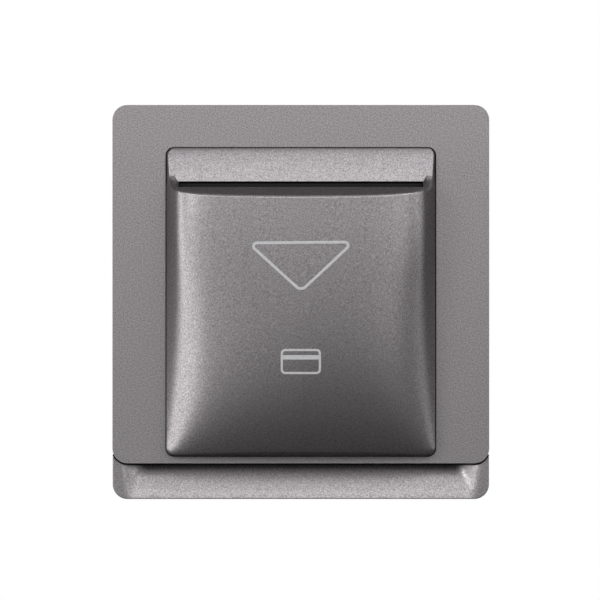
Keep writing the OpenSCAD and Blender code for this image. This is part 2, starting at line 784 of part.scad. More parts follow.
// One unbroken tube along the points of a path, with square ends
function unit(v) = v / norm(v);
module tube(path, r, sides) {
  n = len(path);
  ways = [for (i = [0:n - 1]) unit(path[min(n - 1, i + 1)] - path[max(0, i - 1)])];
  rings = [
    for (i = [0:n - 1])
      let (u = unit(cross(ways[i], [path[i][0] - spring_x, path[i][1] - spring_y, 0])), v = cross(ways[i], u))
      for (k = [0:sides - 1]) path[i] + r * (cos(360 * k / sides) * u + sin(360 * k / sides) * v)
  ];
  polyhedron(rings, concat(
    [[for (k = [0:sides - 1]) k]],
    joined([
      for (i = [0:n - 2], k = [0:sides - 1])
        let (a = i * sides + k, b = i * sides + (k + 1) % sides)
        [[a, a + sides, b], [b, a + sides, b + sides]]
    ]),
    [[for (k = [sides - 1:-1:0]) (n - 1) * sides + k]]
  ), convexity = 10);
}

// Even coil between its seat and the lever's wing, with its least gap to itself
rings_per_turn = 8;
wire_sides = 6;
coil_seat = 0.02;
coil_low = spring_seat + wire_r + coil_seat;
coil_high = spring_top - wire_r - coil_seat;
coil_r = spring_r - wire_r;
coil_n = spring_turns * rings_per_turn;
coil = [
  for (i = [0:coil_n])
    let (turn = 360 * i / rings_per_turn)
    [spring_x + coil_r * cos(turn), spring_y + coil_r * sin(turn), mix(coil_low, coil_high, i / coil_n)]
];
turn_steps = [for (i = [0:coil_n - rings_per_turn]) norm(coil[i + rings_per_turn] - coil[i])];
echo(coil_gap = min(turn_steps) - 2 * wire_r);

module return_spring() facing() color("lightgray") tube(coil, wire_r, wire_sides);

// Switch on its board

module circuit_board() facing() color("darkgreen") difference() {
  slab(board_rear, board_front) square(2 * board_hw, center = true);
  for (p = board_places()) rod_z(board_hole_r, board_rear - overlap, board_front + overlap, p);
  rod_z(spring_post_r + free_fit, board_rear - overlap, board_front + overlap, [spring_x, spring_y]);
  for (y = strip_ys) strip_slot(y, board_rear - overlap, board_front + overlap);
}

module board_screws() facing() color("silver") {
  tip = board_rear - board_screw_l + end_gap;
  for (p = board_places()) translate(p)
    pan_screw(board_front, tip, screw_r, board_head_r, board_head_t, drive_t);
}

// Places of the three blades that run down through the case and the board
common_y = blade_pivot_y;
open_y = contact_y + contact_r + strip_gap;
closed_y = open_y + strip_step;
strip_ys = [common_y, open_y, closed_y];
module strip_slot(y, z0, z1)
  box([-strip_w / 2 - strip_fit, y - strip_t / 2 - strip_fit, z0],
      [strip_w / 2 + strip_fit, y + strip_t / 2 + strip_fit, z1]);
module strip(y, z1)
  box([-strip_w / 2, y - strip_t / 2, board_rear - pin_drop], [strip_w / 2, y + strip_t / 2, z1]);

module switch_case() facing() color("black") difference() {
  union() {
    difference() {
      box([-case_hw, case_bot, board_front], [case_hw - cover_t, case_top, case_front]);
      box([-case_hw + case_wall, case_bot + case_wall, board_front + case_wall],
          [case_hw, case_top - case_wall, case_front - case_wall]);
    }
    for (y = rivet_ys) rod_x(rivet_r + pillar_wall, -case_hw, case_hw - cover_t, y, rivet_z);
  }
  for (y = rivet_ys) rod_x(rivet_r + screw_fit, -case_hw - overlap, case_hw, y, rivet_z);
  for (y = strip_ys) strip_slot(y, board_front - overlap, board_front + case_wall + overlap);
  rod_z(plunger_r + run_fit, case_front - case_wall - overlap, case_front + overlap, [0, plunger_y]);
}

module switch_cover() facing() color("dimgray") difference() {
  box([case_hw - cover_t, case_bot, board_front], [case_hw, case_top, case_front]);
  for (y = rivet_ys) rod_x(rivet_r + screw_fit, 0, case_hw + overlap, y, rivet_z);
}

module switch_rivets() facing() color("silver") for (y = rivet_ys) {
  rod_x(rivet_r, -case_hw - rivet_head_t, case_hw + rivet_head_t, y, rivet_z);
  for (x = [-case_hw - rivet_head_t, case_hw]) rod_x(rivet_head_r, x, x + rivet_head_t, y, rivet_z);
}

module switch_plunger() facing() color("firebrick") {
  under = case_front - case_wall - collar_gap;
  slab(under - collar_t, plunger_tip) translate([0, plunger_y]) circle(plunger_r);
  slab(under - collar_t, under) translate([0, plunger_y]) circle(collar_r);
  slab(blade_z + blade_t / 2 + touch_gap, under) translate([0, plunger_y]) circle(stem_r);
}

module common_terminal() facing() color("goldenrod") {
  fork_foot = blade_z - blade_loop_r - strip_t;
  fork_in = blade_w / 2 + blade_side;
  strip(common_y, fork_foot);
  for (x = [-1, 1])
    box([min(x * fork_in, x * strip_w / 2), common_y - fork_hh, fork_foot - overlap],
        [max(x * fork_in, x * strip_w / 2), common_y + fork_hh, blade_z + fork_hh]);
  rod_x(blade_pin_r, -strip_w / 2, strip_w / 2, common_y, blade_z);
}

// Levels of the two fixed contacts, which face the blade's contact from both sides
closed_face = blade_z + blade_t / 2 + contact_t + contact_gap;
open_face = blade_z - blade_t / 2 - contact_t - contact_travel - contact_gap;
module fixed_arm(y, face, way) {
  level = [face + way * contact_t, face + way * (contact_t + strip_t)];
  strip(y, max(level));
  box([-strip_w / 2, contact_y - contact_r, min(level)], [strip_w / 2, y + strip_t / 2, max(level)]);
}

module closed_terminal() facing() color("goldenrod") fixed_arm(closed_y, closed_face, 1);

module open_terminal() facing() color("goldenrod") fixed_arm(open_y, open_face, -1);

module fixed_contacts() facing() color("silver") {
  slab(closed_face, closed_face + contact_t) translate([0, contact_y]) circle(contact_r);
  slab(open_face - contact_t, open_face) translate([0, contact_y]) circle(contact_r);
}

module contact_blade() facing() color("peru") difference() {
  union() {
    rod_x(blade_loop_r, -blade_w / 2, blade_w / 2, blade_pivot_y, blade_z);
    box([-blade_w / 2, blade_pivot_y, blade_z - blade_t / 2],
        [blade_w / 2, contact_y + contact_r, blade_z + blade_t / 2]);
  }
  rod_x(blade_pin_r + run_fit, -blade_w, blade_w, blade_pivot_y, blade_z);
  rod_z(contact_r / 2 + screw_fit, blade_z - blade_t, blade_z + blade_t, [0, contact_y]);
}

module blade_contact() facing() color("silver") {
  half = blade_t / 2 + contact_t;
  rod_z(contact_r / 2, blade_z - half, blade_z + half, [0, contact_y]);
  for (z = [blade_z - half, blade_z + blade_t / 2]) rod_z(contact_r, z, z + contact_t, [0, contact_y]);
}

// Terminals

module terminal_block() facing() color("darkslategray") difference() {
  box([-block_hw, block_bot, block_rear], [block_hw, block_top, board_rear]);
  for (x = terminal_xs) {
    rod_y(entry_r, block_bot - overlap, block_bot + entry_l + overlap, x, entry_z);
    box([x - cage_w / 2 - cage_fit, cage_y - cage_l / 2 - cage_fit, entry_z - cage_h / 2 - cage_fit],
        [x + cage_w / 2 + cage_fit, cage_y + cage_l / 2 + cage_fit, board_rear + overlap]);
    rod_z(clamp_head_r + block_gap, block_rear - overlap, entry_z, [x, cage_y]);
  }
}

module terminal_cages() facing() color("gold") for (x = terminal_xs) difference() {
  box([x - cage_w / 2, cage_y - cage_l / 2, entry_z - cage_h / 2],
      [x + cage_w / 2, cage_y + cage_l / 2, entry_z + cage_h / 2]);
  box([x - cage_w / 2 + cage_wall, cage_y - cage_l, entry_z - cage_h / 2 + cage_wall],
      [x + cage_w / 2 - cage_wall, cage_y + cage_l, entry_z + cage_h / 2 - cage_wall]);
  rod_z(clamp_r + screw_fit, entry_z - cage_h, entry_z, [x, cage_y]);
}

module terminal_screws() facing() color("silver") {
  seat = entry_z - cage_h / 2 - block_gap;
  for (x = terminal_xs) translate([x, cage_y])
    pan_screw(seat, entry_z - clamp_tip, clamp_r, clamp_head_r, clamp_head_t, drive_t);
}

base_frame();
front_plate();
pocket_cover();
pocket_base();
plate_screws();
rear_housing();
mechanism_plate();
housing_screws();
lever_pin();
card_lever();
return_spring();
circuit_board();
board_screws();
switch_case();
switch_cover();
switch_rivets();
switch_plunger();
common_terminal();
closed_terminal();
open_terminal();
fixed_contacts();
contact_blade();
blade_contact();
terminal_block();
terminal_cages();
terminal_screws();
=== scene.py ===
# %% [markdown]
# # A hotel key card switch, dressed
# The solids of this switch are already made: a wall frame, a pull-off front with a card pocket, and
# a small lever-and-contact mechanism behind it. This lesson gives them their looks. We load the solids
# first, because every surface that follows is placed by them.

# %% Load the solids
import json
import math

import bmesh
import bpy
import numpy as np
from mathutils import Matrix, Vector


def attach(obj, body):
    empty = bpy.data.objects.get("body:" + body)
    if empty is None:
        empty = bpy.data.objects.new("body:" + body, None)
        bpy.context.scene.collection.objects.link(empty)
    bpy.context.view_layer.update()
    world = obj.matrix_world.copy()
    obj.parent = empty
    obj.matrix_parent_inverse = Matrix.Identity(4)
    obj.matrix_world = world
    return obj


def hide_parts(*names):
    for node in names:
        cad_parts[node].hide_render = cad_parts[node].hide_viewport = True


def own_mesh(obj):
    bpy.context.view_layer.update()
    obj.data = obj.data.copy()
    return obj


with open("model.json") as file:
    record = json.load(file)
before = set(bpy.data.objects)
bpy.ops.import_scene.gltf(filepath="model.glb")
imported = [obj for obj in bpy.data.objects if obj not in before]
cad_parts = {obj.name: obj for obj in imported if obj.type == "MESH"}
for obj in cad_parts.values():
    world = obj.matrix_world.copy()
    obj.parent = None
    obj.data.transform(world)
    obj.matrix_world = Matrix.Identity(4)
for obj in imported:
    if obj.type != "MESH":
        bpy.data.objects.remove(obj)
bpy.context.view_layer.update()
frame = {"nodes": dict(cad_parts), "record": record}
NODES = frame["nodes"]
MM = 0.001
print("solids loaded:", len(NODES))

# %% [markdown]
# ## The sizes that the looks share with the solids
# The front of the real switch is two mouldings and a frame, and their curved faces are finer than the
# solids show. To draw them again, finer and in the same place, we need the few sizes that they hang
# on. All are in millimetres, as on a drawing: x to the right, y up, and "out" is the height over the wall.
# The pocket alone is drawn a hair narrower and shorter than its solid, so that the dark gap round it shows.

# %% Sizes of the frame, the plate and the pocket
FRAME_W = 86.0
FRAME_H = 90.0
CORNER_R = 3.4
FLANGE_T = 2.4
LIP_H = 8.2
LIP_OUT = 8.8
SCOOP_DEPTH = 3.6
LIP_WALL = 1.6
PLATE_OUT = 10.0
PLATE_BOT = -FRAME_H / 2 + LIP_H
SIDE_GAP = 0.3

POCKET_W = 61.2
POCKET_BOT = -34.95
POCKET_TOP = 35.25
POCKET_R = 1.8
BODY_OUT = 2.0
CROWN_OUT = 12.95
TOE_OUT = 5.2
CROWN_SAG = 1.3
FOOT_SAG = 1.0
BROW_Y = 27.5
BROW_OUT = 2.6
RIM_Y = 26.1
RIM_OUT = 7.5
EDGE_Y = 24.0
SLOT_W = 55.6
WALL_T = 1.8
LIP_T = 0.4
EDGE_OUT = 0.35
LEDGE_REAR = 6.2
PLATE_REAR = 8.0
print("frame", FRAME_W, "x", FRAME_H, "mm, pocket", POCKET_W, "x", POCKET_TOP - POCKET_BOT, "mm")


# %% [markdown]
# ## From a drawing's point to the scene
# Blender works in metres with +Z up, and this part looks along -Y. One function turns a drawing's point
# (x, y, out) into the scene's, and one makes a mesh from points and faces, smooth-shaded except along
# its sharp edges.

# %% Mesh helpers
SHARP = math.radians(32)


def place(x, y, out):
    return np.stack(np.broadcast_arrays(x, -np.asarray(out), y), axis=-1) * MM


def make_mesh(name, points, faces, finishes, face_finish=None, sharp=SHARP):
    """A new object from points in metres; face_finish gives each face's place in the list of finishes."""
    mesh = bpy.data.meshes.new(name)
    mesh.from_pydata(np.asarray(points).tolist(), [], [list(map(int, f)) for f in faces])
    for finish in finishes:
        mesh.materials.append(finish)
    if face_finish is not None:
        mesh.polygons.foreach_set("material_index", np.asarray(face_finish, np.int32))
    mesh.validate()
    mesh.shade_smooth()
    mesh.set_sharp_from_angle(angle=sharp)
    piece = bpy.data.objects.new(name, mesh)
    bpy.context.scene.collection.objects.link(piece)
    return piece


def grid_faces(rows, cols, start=0, flip=False, skip=None):
    """Quads over a grid of points that is stored row by row."""
    faces = []
    for r in range(rows - 1):
        for c in range(cols - 1):
            if skip is not None and skip(r, c):
                continue
            a = start + r * cols + c
            quad = (a, a + cols, a + cols + 1, a + 1)
            faces.append(quad[::-1] if flip else quad)
    return faces


def grid_ring(cols, first_row, last_row, first_col, last_col):
    """Places of the points round a block of such a grid, once round."""
    ring = [(first_row, c) for c in range(first_col, last_col + 1)]
    ring += [(r, last_col) for r in range(first_row + 1, last_row + 1)]
    ring += [(last_row, c) for c in range(last_col - 1, first_col - 1, -1)]
    ring += [(r, first_col) for r in range(last_row - 1, first_row, -1)]
    return np.array([r * cols + c for r, c in ring])


print("mesh helpers ready")

# %% [markdown]
# ## Grey paint with metal flakes
# The plate, the pocket and the frame are plastic under a satin grey paint with fine metal flakes. Seen
# close, it is a sand of lighter and darker grains about a third of a millimetre across; seen from a step
# away it is an even warm grey that darkens quickly as it turns from the light. A flat grey can't do
# that. Here a fine noise mixes darker and lighter greys and tilts the surface a little, so each grain
# takes the light in its own way. The shader is nearly all metal, with a dark tint at grazing angles,
# which gives the quick fall from light to dark.


# %% Shader helpers
def new_finish(name):
    finish = bpy.data.materials.new(name)
    finish.use_nodes = True
    nodes = finish.node_tree.nodes
    nodes.clear()
    out = nodes.new("ShaderNodeOutputMaterial")
    shader = nodes.new("ShaderNodeBsdfPrincipled")
    finish.node_tree.links.new(shader.outputs["BSDF"], out.inputs["Surface"])
    return finish, nodes, finish.node_tree.links, shader


def grain(nodes, links, scale, detail=2.0, roughness=0.6, stretch=None):
    """Noise in the piece's own metres, so that its grains keep their real size."""
    where = nodes.new("ShaderNodeTexCoord")
    noise = nodes.new("ShaderNodeTexNoise")
    noise.inputs["Scale"].default_value = scale
    noise.inputs["Detail"].default_value = detail
    noise.inputs["Roughness"].default_value = roughness
    source = where.outputs["Object"]
    if stretch is not None:
        turn = nodes.new("ShaderNodeMapping")
        turn.inputs["Scale"].default_value = stretch
        links.new(source, turn.inputs["Vector"])
        source = turn.outputs["Vector"]
    links.new(source, noise.inputs["Vector"])
    return noise.outputs["Fac"]


def ramp(nodes, links, value, stops):
    """A colour ramp from (place, colour) pairs; a grey is given as one number."""
    band = nodes.new("ShaderNodeValToRGB")
    marks = band.color_ramp.elements
    while len(marks) < len(stops):
        marks.new(0.5)
    for mark, (spot, colour) in zip(marks, stops):
        mark.position = spot
        shade = (colour,) * 3 if isinstance(colour, (int, float)) else colour
        mark.color = (*shade, 1.0)
    links.new(value, band.inputs["Fac"])
    return band.outputs["Color"]


def bump(nodes, links, shader, value, strength, depth):
    dent = nodes.new("ShaderNodeBump")
    dent.inputs["Strength"].default_value = strength
    dent.inputs["Distance"].default_value = depth
    links.new(value, dent.inputs["Height"])
    links.new(dent.outputs["Normal"], shader.inputs["Normal"])


def tinted(colour, share):
    return tuple(min(1.0, c * share) for c in colour)


print("shader helpers ready")

# %% The grey paint
PAINT = (0.300, 0.285, 0.292)
PAINT_GRAINS_PER_M = 3200.0
PAINT_METAL = 0.9
PAINT_EDGE_TINT = (0.1, 0.1, 0.1, 1.0)
PAINT_DENT_M = 0.00004


def silver_paint():
    finish, nodes, links, shader = new_finish("silver_paint")
    fine = grain(nodes, links, PAINT_GRAINS_PER_M, detail=1.0)
    stops = [(0.30, tinted(PAINT, 0.70)), (0.5, PAINT), (0.70, tinted(PAINT, 1.30))]
    links.new(ramp(nodes, links, fine, stops), shader.inputs["Base Color"])
    links.new(ramp(nodes, links, fine, [(0.3, 0.43), (0.7, 0.37)]), shader.inputs["Roughness"])
    shader.inputs["Metallic"].default_value = PAINT_METAL
    shader.inputs["Specular Tint"].default_value = PAINT_EDGE_TINT
    bump(nodes, links, shader, fine, 0.35, PAINT_DENT_M)
    return finish


FINISH = {"silver_paint": silver_paint()}
print("finish:", ", ".join(FINISH))

# %% [markdown]
# ## Inks, plastics and metals of the other pieces
# Behind the front there are moulded plastics, plated screws, brass and copper strips, a silver contact
# and a circuit board. Each gets the mark of how it was made: moulded plastic has a fine spark-eroded
# skin, plated steel a soft cloudy shine, rolled strip a grain along its length, and a board the weave of
# its glass cloth under the green resist.


# %% Plastics
SKIN_GRAINS_PER_M = 1800.0
SKIN_DENT_M = 0.00003
CLOUDS_PER_M = 90.0
ROUGH_SPREAD = 0.06


def moulded(name, colour, rough, gloss=0.5, cloud=0.03):
    finish, nodes, links, shader = new_finish(name)
    fine = grain(nodes, links, SKIN_GRAINS_PER_M, detail=3.0)
    patches = grain(nodes, links, CLOUDS_PER_M, detail=2.0)
    stops = [(0.3, tinted(colour, 1 - cloud)), (0.7, tinted(colour, 1 + cloud))]
    links.new(ramp(nodes, links, patches, stops), shader.inputs["Base Color"])
    stops = [(0.3, rough - ROUGH_SPREAD), (0.7, rough + ROUGH_SPREAD)]
    links.new(ramp(nodes, links, fine, stops), shader.inputs["Roughness"])
    shader.inputs["Specular IOR Level"].default_value = gloss
    bump(nodes, links, shader, fine, 0.2, SKIN_DENT_M)
    return finish


PLASTICS = {
    "black_plastic": ((0.010, 0.010, 0.010), 0.55, 0.2),
    "grey_plastic": ((0.10, 0.10, 0.11), 0.5, 0.5),
    "ivory_plastic": ((0.72, 0.68, 0.58), 0.5, 0.5),
    "white_plastic": ((0.78, 0.78, 0.75), 0.38, 0.5),
    "plunger_red": ((0.50, 0.03, 0.02), 0.3, 0.5),
    "block_grey": ((0.11, 0.15, 0.16), 0.45, 0.5),
    # The pocket's inside: unpainted plastic, its colour set near-black so that it also paints the shade
    # seen inside the slot.
    "raw_grey_and_painted_shade": ((0.022, 0.022, 0.023), 0.6, 0.3),
}
for label, (colour, rough, gloss) in PLASTICS.items():
    FINISH[label] = moulded(label, colour, rough, gloss)
print("plastics:", ", ".join(PLASTICS))


# %% Metals
METAL_GRAINS_PER_M = 700.0
FAINT_DENT_M = 0.00001


def metal(name, colour, rough, stretch):
    finish, nodes, links, shader = new_finish(name)
    line = grain(nodes, links, METAL_GRAINS_PER_M, detail=4.0, stretch=stretch)
    stops = [(0.3, tinted(colour, 0.86)), (0.7, tinted(colour, 1.06))]
    links.new(ramp(nodes, links, line, stops), shader.inputs["Base Color"])
    stops = [(0.3, rough - 0.07), (0.7, rough + 0.09)]
    links.new(ramp(nodes, links, line, stops), shader.inputs["Roughness"])
    shader.inputs["Metallic"].default_value = 1.0
    bump(nodes, links, shader, line, 0.1, FAINT_DENT_M)
    return finish


EVEN = (1.0, 1.0, 1.0)
ALONG_Z = (4.0, 1.0, 0.4)
METALS = {
    "zinc_steel": ((0.66, 0.68, 0.70), 0.32, EVEN),
    "spring_steel": ((0.52, 0.53, 0.55), 0.28, EVEN),
    "brass": ((0.76, 0.55, 0.24), 0.30, ALONG_Z),
    "contact_silver": ((0.84, 0.83, 0.79), 0.22, EVEN),
    "spring_copper": ((0.72, 0.40, 0.22), 0.30, ALONG_Z),
}
for label, (colour, rough, stretch) in METALS.items():
    FINISH[label] = metal(label, colour, rough, stretch)
print("metals:", ", ".join(METALS))


# %% The circuit board
WEAVE_PER_M = 1300.0
RESIST_CLOUDS_PER_M = 400.0


def board_finish():
    finish, nodes, links, shader = new_finish("board_green")
    where = nodes.new("ShaderNodeTexCoord")
    weave = nodes.new("ShaderNodeTexChecker")
    weave.inputs["Scale"].default_value = WEAVE_PER_M
    weave.inputs["Color1"].default_value = (0.018, 0.105, 0.040, 1.0)
    weave.inputs["Color2"].default_value = (0.025, 0.135, 0.052, 1.0)
    links.new(where.outputs["Object"], weave.inputs["Vector"])
    links.new(weave.outputs["Color"], shader.inputs["Base Color"])
    cloud = grain(nodes, links, RESIST_CLOUDS_PER_M)
    links.new(ramp(nodes, links, cloud, [(0.3, 0.25), (0.7, 0.38)]), shader.inputs["Roughness"])
    bump(nodes, links, shader, weave.outputs["Fac"], 0.1, FAINT_DENT_M)
    return finish


FINISH["board_green"] = board_finish()
print("board finish made")


# %% The printing ink
INK_GRAINS_PER_M = 2400.0


def print_ink():
    finish, nodes, links, shader = new_finish("print_ink")
    fine = grain(nodes, links, INK_GRAINS_PER_M)
    stops = [(0.3, (0.44, 0.44, 0.45)), (0.7, (0.52, 0.52, 0.53))]
    links.new(ramp(nodes, links, fine, stops), shader.inputs["Base Color"])
    links.new(ramp(nodes, links, fine, [(0.3, 0.42), (0.7, 0.55)]), shader.inputs["Roughness"])
    return finish


FINISH["print_ink"] = print_ink()
print("ink made")

# %% [markdown]
# ## The card pocket
# The pocket is one moulding: a brow over the slot, a sloping rim under it, and a cushion-like bulge that
# leans back to its foot. It could be sculpted, or cut from a block with a few curved knives. We write it
# as a height over the plate instead, because the mould maker's faces are simple ones. The bulge is a
# crown that falls faster and faster towards the foot. Its sides start straight, and a wide shoulder
# joins them to the crown. The brow and the rim are cuts across the bulge, and past the slot's ends a
# fillet joins the two cuts. The lower of the bulge and the cuts is the surface, and a rounded minimum in
# place of a sharp one leaves the fine bright edge that the light catches.


# %% Ways to blend two heights
def mix(a, b, t):
    return a + (b - a) * t


def ease(t):
    t = np.clip(t, 0.0, 1.0)
    return t * t * (3 - 2 * t)


def blend(a, b, n):
    return (a ** -n + b ** -n) ** (-1.0 / n)


def soft_min(a, b, k):
    near = np.clip(k - np.abs(a - b), 0.0, None) / k
    return np.minimum(a, b) - near * near * k / 4


def soft_max(a, b, k):
    return -soft_min(-a, -b, k)


print("the soft minimum of 1 and 1.1 is", round(float(soft_min(1.0, 1.1, 0.5)), 3))

# %% The pocket's outline and straight sides
POCKET_Y = (POCKET_BOT + POCKET_TOP) / 2
POCKET_H = POCKET_TOP - POCKET_BOT


def pocket_half(y):
    """Half the pocket's width at a height, with its round corners."""
    run = np.clip(np.abs(y - POCKET_Y) - (POCKET_H / 2 - POCKET_R), 0.0, POCKET_R)
    return POCKET_W / 2 - POCKET_R + np.sqrt(POCKET_R ** 2 - run ** 2)


def body(y):
    """Height of the straight sides, which start at the slot."""
    return BODY_OUT * np.clip((BROW_Y - y) / (BROW_Y - RIM_Y), 0.0, 1.0)


print("pocket's width at its foot", round(2 * float(pocket_half(POCKET_BOT)), 1), "mm")

# %% The bulge
BROW_DRAFT = 0.04
SIDE_DRAFT = 0.11
SHOULDER_DRAFT = 0.25
DRAFT_SOFT = 0.1
FOOT_SIDE_DRAFT = 0.92
TOE_DRAFT = 0.16
CROWN_POWER = 4.25
SAG_POWER = 2.45
SIDE_BLEND = 1.6
TOE_BLEND = 6.0


def bulge(x, y):
    """The crown, turned over at its sides and its toe, on straight sides."""
    fall = np.clip(EDGE_Y - y, 0.0, None) / (EDGE_Y - POCKET_BOT)
    crown = CROWN_OUT - (CROWN_OUT - TOE_OUT) * fall ** CROWN_POWER
    top = crown - BODY_OUT - (CROWN_SAG + FOOT_SAG * fall) * np.abs(2 * x / POCKET_W) ** SAG_POWER
    top = np.maximum(top, EDGE_OUT)
    draft = soft_max(mix(SIDE_DRAFT, FOOT_SIDE_DRAFT, fall), SHOULDER_DRAFT, DRAFT_SOFT)
    draft = mix(draft, BROW_DRAFT, ease((y - EDGE_Y) / (POCKET_TOP - EDGE_Y)))
    side = EDGE_OUT + np.clip(pocket_half(y) - np.abs(x), 0.0, None) / draft
    toe = EDGE_OUT + np.clip(y - POCKET_BOT, 0.0, None) / TOE_DRAFT
    return body(y) + blend(blend(top, side, SIDE_BLEND), toe, TOE_BLEND)


print("bulge over the card sign's place", round(float(bulge(0.0, -13.0)), 2), "mm")

# %% The cuts, and the surface that is left
BROW_POWER = 0.7
FILLET = 7.0
FILLET_RUN = 0.9
END_DROP = 0.6
RIDGE_R = 0.50
RIDGE_SLOPE = 12.0
EDGE_R = 0.35
SLOPE_STEP = 0.02
TINY = 1e-6


def cut(x, y):
    """The brow above the slot and the rim below it."""
    up = np.clip(POCKET_TOP - y, 0.0, None) / (POCKET_TOP - BROW_Y)
    brow = mix(EDGE_OUT, BROW_OUT, up ** BROW_POWER)
    past_slot = ease((np.abs(x) - SLOT_W / 2) / FILLET_RUN)
    low = y + END_DROP * past_slot
    steep = BROW_OUT + (BROW_Y - low) * (RIM_OUT - BROW_OUT) / (BROW_Y - RIM_Y)
    rim = RIM_OUT + (RIM_Y - low) * (CROWN_OUT - RIM_OUT) / (RIM_Y - EDGE_Y)
    below = np.where(low > RIM_Y, steep, rim)
    return soft_max(brow, below, FILLET * past_slot + TINY)


def over_cut(x, y):
    """How far the bulge stands over the cuts."""
    return bulge(x, y) - cut(x, y)


def pocket_rise(x, y):
    """Height of the pocket over the plate; where bulge and cuts cross steeply, the ridge is rounder."""
    across = (over_cut(x + SLOPE_STEP, y) - over_cut(x - SLOPE_STEP, y)) / (2 * SLOPE_STEP)
    along = (over_cut(x, y + SLOPE_STEP) - over_cut(x, y - SLOPE_STEP)) / (2 * SLOPE_STEP)
    ridge = RIDGE_R * np.minimum(np.hypot(across, along), RIDGE_SLOPE) + TINY
    rise = np.maximum(soft_min(bulge(x, y), cut(x, y), ridge), EDGE_OUT)
    beside = pocket_half(y) - np.abs(x) + np.clip(BROW_Y + EDGE_R - y, 0.0, None)
    end = np.clip(np.minimum(np.minimum(POCKET_TOP - y, y - POCKET_BOT), beside), 0.0, None)
    near = np.clip(1 - end / EDGE_R, 0.0, 1.0)
    return rise - EDGE_R * (1 - np.sqrt(1 - near ** 2))


print("crown", round(float(pocket_rise(0.0, 15.0)), 2), "mm over the plate")


# %% Rows and columns of the pocket's grid
CORNER_STEPS = 13
FINE_FROM_Y = 21.0
FINE_TO_Y = BROW_Y + 1.6
WIDE_TO_X = 24.0
WALL_FROM_X = 30.2


def steps(start, stop, size):
    count = max(1, int(round(abs(stop - start) / size)))
    return np.linspace(start, stop, count + 1)[1:]


turn = np.linspace(0.0, math.pi / 2, CORNER_STEPS)
foot_rows = POCKET_BOT + POCKET_R * (1 - np.cos(turn))
head_rows = (POCKET_TOP - POCKET_R * (1 - np.cos(turn)))[::-1]
pocket_rows = np.concatenate([
    foot_rows,
    steps(foot_rows[-1], FINE_FROM_Y, 0.6),
    steps(FINE_FROM_Y, RIM_Y, 0.14),
    steps(RIM_Y, BROW_Y, 0.125),
    steps(BROW_Y, FINE_TO_Y, 0.16),
    steps(FINE_TO_Y, head_rows[0], 0.5),
    head_rows[1:],
])
half_cols = np.concatenate([
    [0.0],
    steps(0.0, WIDE_TO_X, 1.0),
    steps(WIDE_TO_X, SLOT_W / 2, 0.3),
    steps(SLOT_W / 2, WALL_FROM_X, 0.1),
    steps(WALL_FROM_X, POCKET_W / 2, 0.04),
]) / (POCKET_W / 2)
pocket_cols = np.concatenate([-half_cols[:0:-1], half_cols])
rim_row = int(np.argmin(np.abs(pocket_rows - RIM_Y)))
brow_row = int(np.argmin(np.abs(pocket_rows - BROW_Y)))
slot_left = int(np.argmin(np.abs(pocket_cols + SLOT_W / POCKET_W)))
slot_right = int(np.argmin(np.abs(pocket_cols - SLOT_W / POCKET_W)))
print("pocket grid", len(pocket_rows), "x", len(pocket_cols))


# %% The pocket's wall
INSET_RUN = 4.0


def inner_place(share, y):
    """The same spot on the inside of the wall."""
    slot_share = SLOT_W / POCKET_W
    half = pocket_half(y)
    knee = np.minimum(np.minimum(SLOT_W / 2, slot_share * half), half - WALL_T * 4 / 3)
    size = np.abs(share)
    past = (size - slot_share) / (1 - slot_share)
    before_knee = size / slot_share * knee
    past_knee = mix(knee, half - WALL_T, past)
    x = np.sign(share) * np.where(size <= slot_share, before_knee, past_knee)
    low = POCKET_BOT + INSET_RUN
    high = POCKET_TOP - INSET_RUN
    y_in = np.where(y < low, mix(POCKET_BOT + WALL_T, low, (y - POCKET_BOT) / INSET_RUN), y)
    y_in = np.where(y > high, mix(POCKET_TOP - WALL_T, high, (POCKET_TOP - y) / INSET_RUN), y_in)
    return x, y_in


def pocket_wall():
    """The wall's outer and inner points, row by row; round the slot's mouth it thins to a lip."""
    rows = pocket_rows[:, None]
    cols = pocket_cols[None, :]
    x = cols * pocket_half(rows)
    y = np.broadcast_to(rows, x.shape)
    rise = pocket_rise(x, y)
    x_in, y_in = inner_place(np.broadcast_to(cols, x.shape), y)
    thin = rise - WALL_T
    in_rim = (y >= EDGE_Y) & (y <= RIM_Y + TINY)
    in_mouth = np.abs(x) < SLOT_W / 2 + TINY
    mouth = np.minimum(rise, RIM_OUT) - LIP_T
    thin_lip = np.where(in_mouth, mouth, np.minimum(thin, RIM_OUT - LIP_T))
    thin = np.where(in_rim, thin_lip, thin)
    outer = place(x, y, PLATE_OUT + rise).reshape(-1, 3)
    inner = place(x_in, y_in, PLATE_OUT + thin).reshape(-1, 3)
    return outer, inner


outer, inner = pocket_wall()
print("pocket wall:", len(outer), "points outside and as many inside")

# %% The pocket's ledges
LEDGE_X = 32.8
LEDGE_HALF = 2.95
LEDGE_TOP = POCKET_TOP + 3.0


def box_points(low, high):
    corners = [(x, y, z) for x in (low[0], high[0]) for y in (low[1], high[1]) for z in (low[2], high[2])]
    return place(*np.array(corners).T)


BOX_FACES = np.array([(0, 1, 3, 2), (4, 6, 7, 5), (0, 4, 5, 1), (2, 3, 7, 6), (0, 2, 6, 4), (1, 5, 7, 3)])


def pocket_ledges():
    """Flanges of the pocket behind the plate, beside and above its window."""
    ledges = []
    for mid in (-LEDGE_X, LEDGE_X):
        ledges.append(((mid - LEDGE_HALF, POCKET_BOT + INSET_RUN), (mid + LEDGE_HALF, LEDGE_TOP)))
    reach = LEDGE_X - LEDGE_HALF
    ledges.append(((-reach, POCKET_TOP - WALL_T / 2), (reach, LEDGE_TOP)))
    return [box_points((*low, LEDGE_REAR), (*high, PLATE_REAR)) for low, high in ledges]


ledges = pocket_ledges()
print("ledges:", len(ledges))

# %% The pocket's shell
COVER_SHARP = math.radians(50)


def in_slot(r, c):
    return rim_row <= r < brow_row and slot_left <= c < slot_right


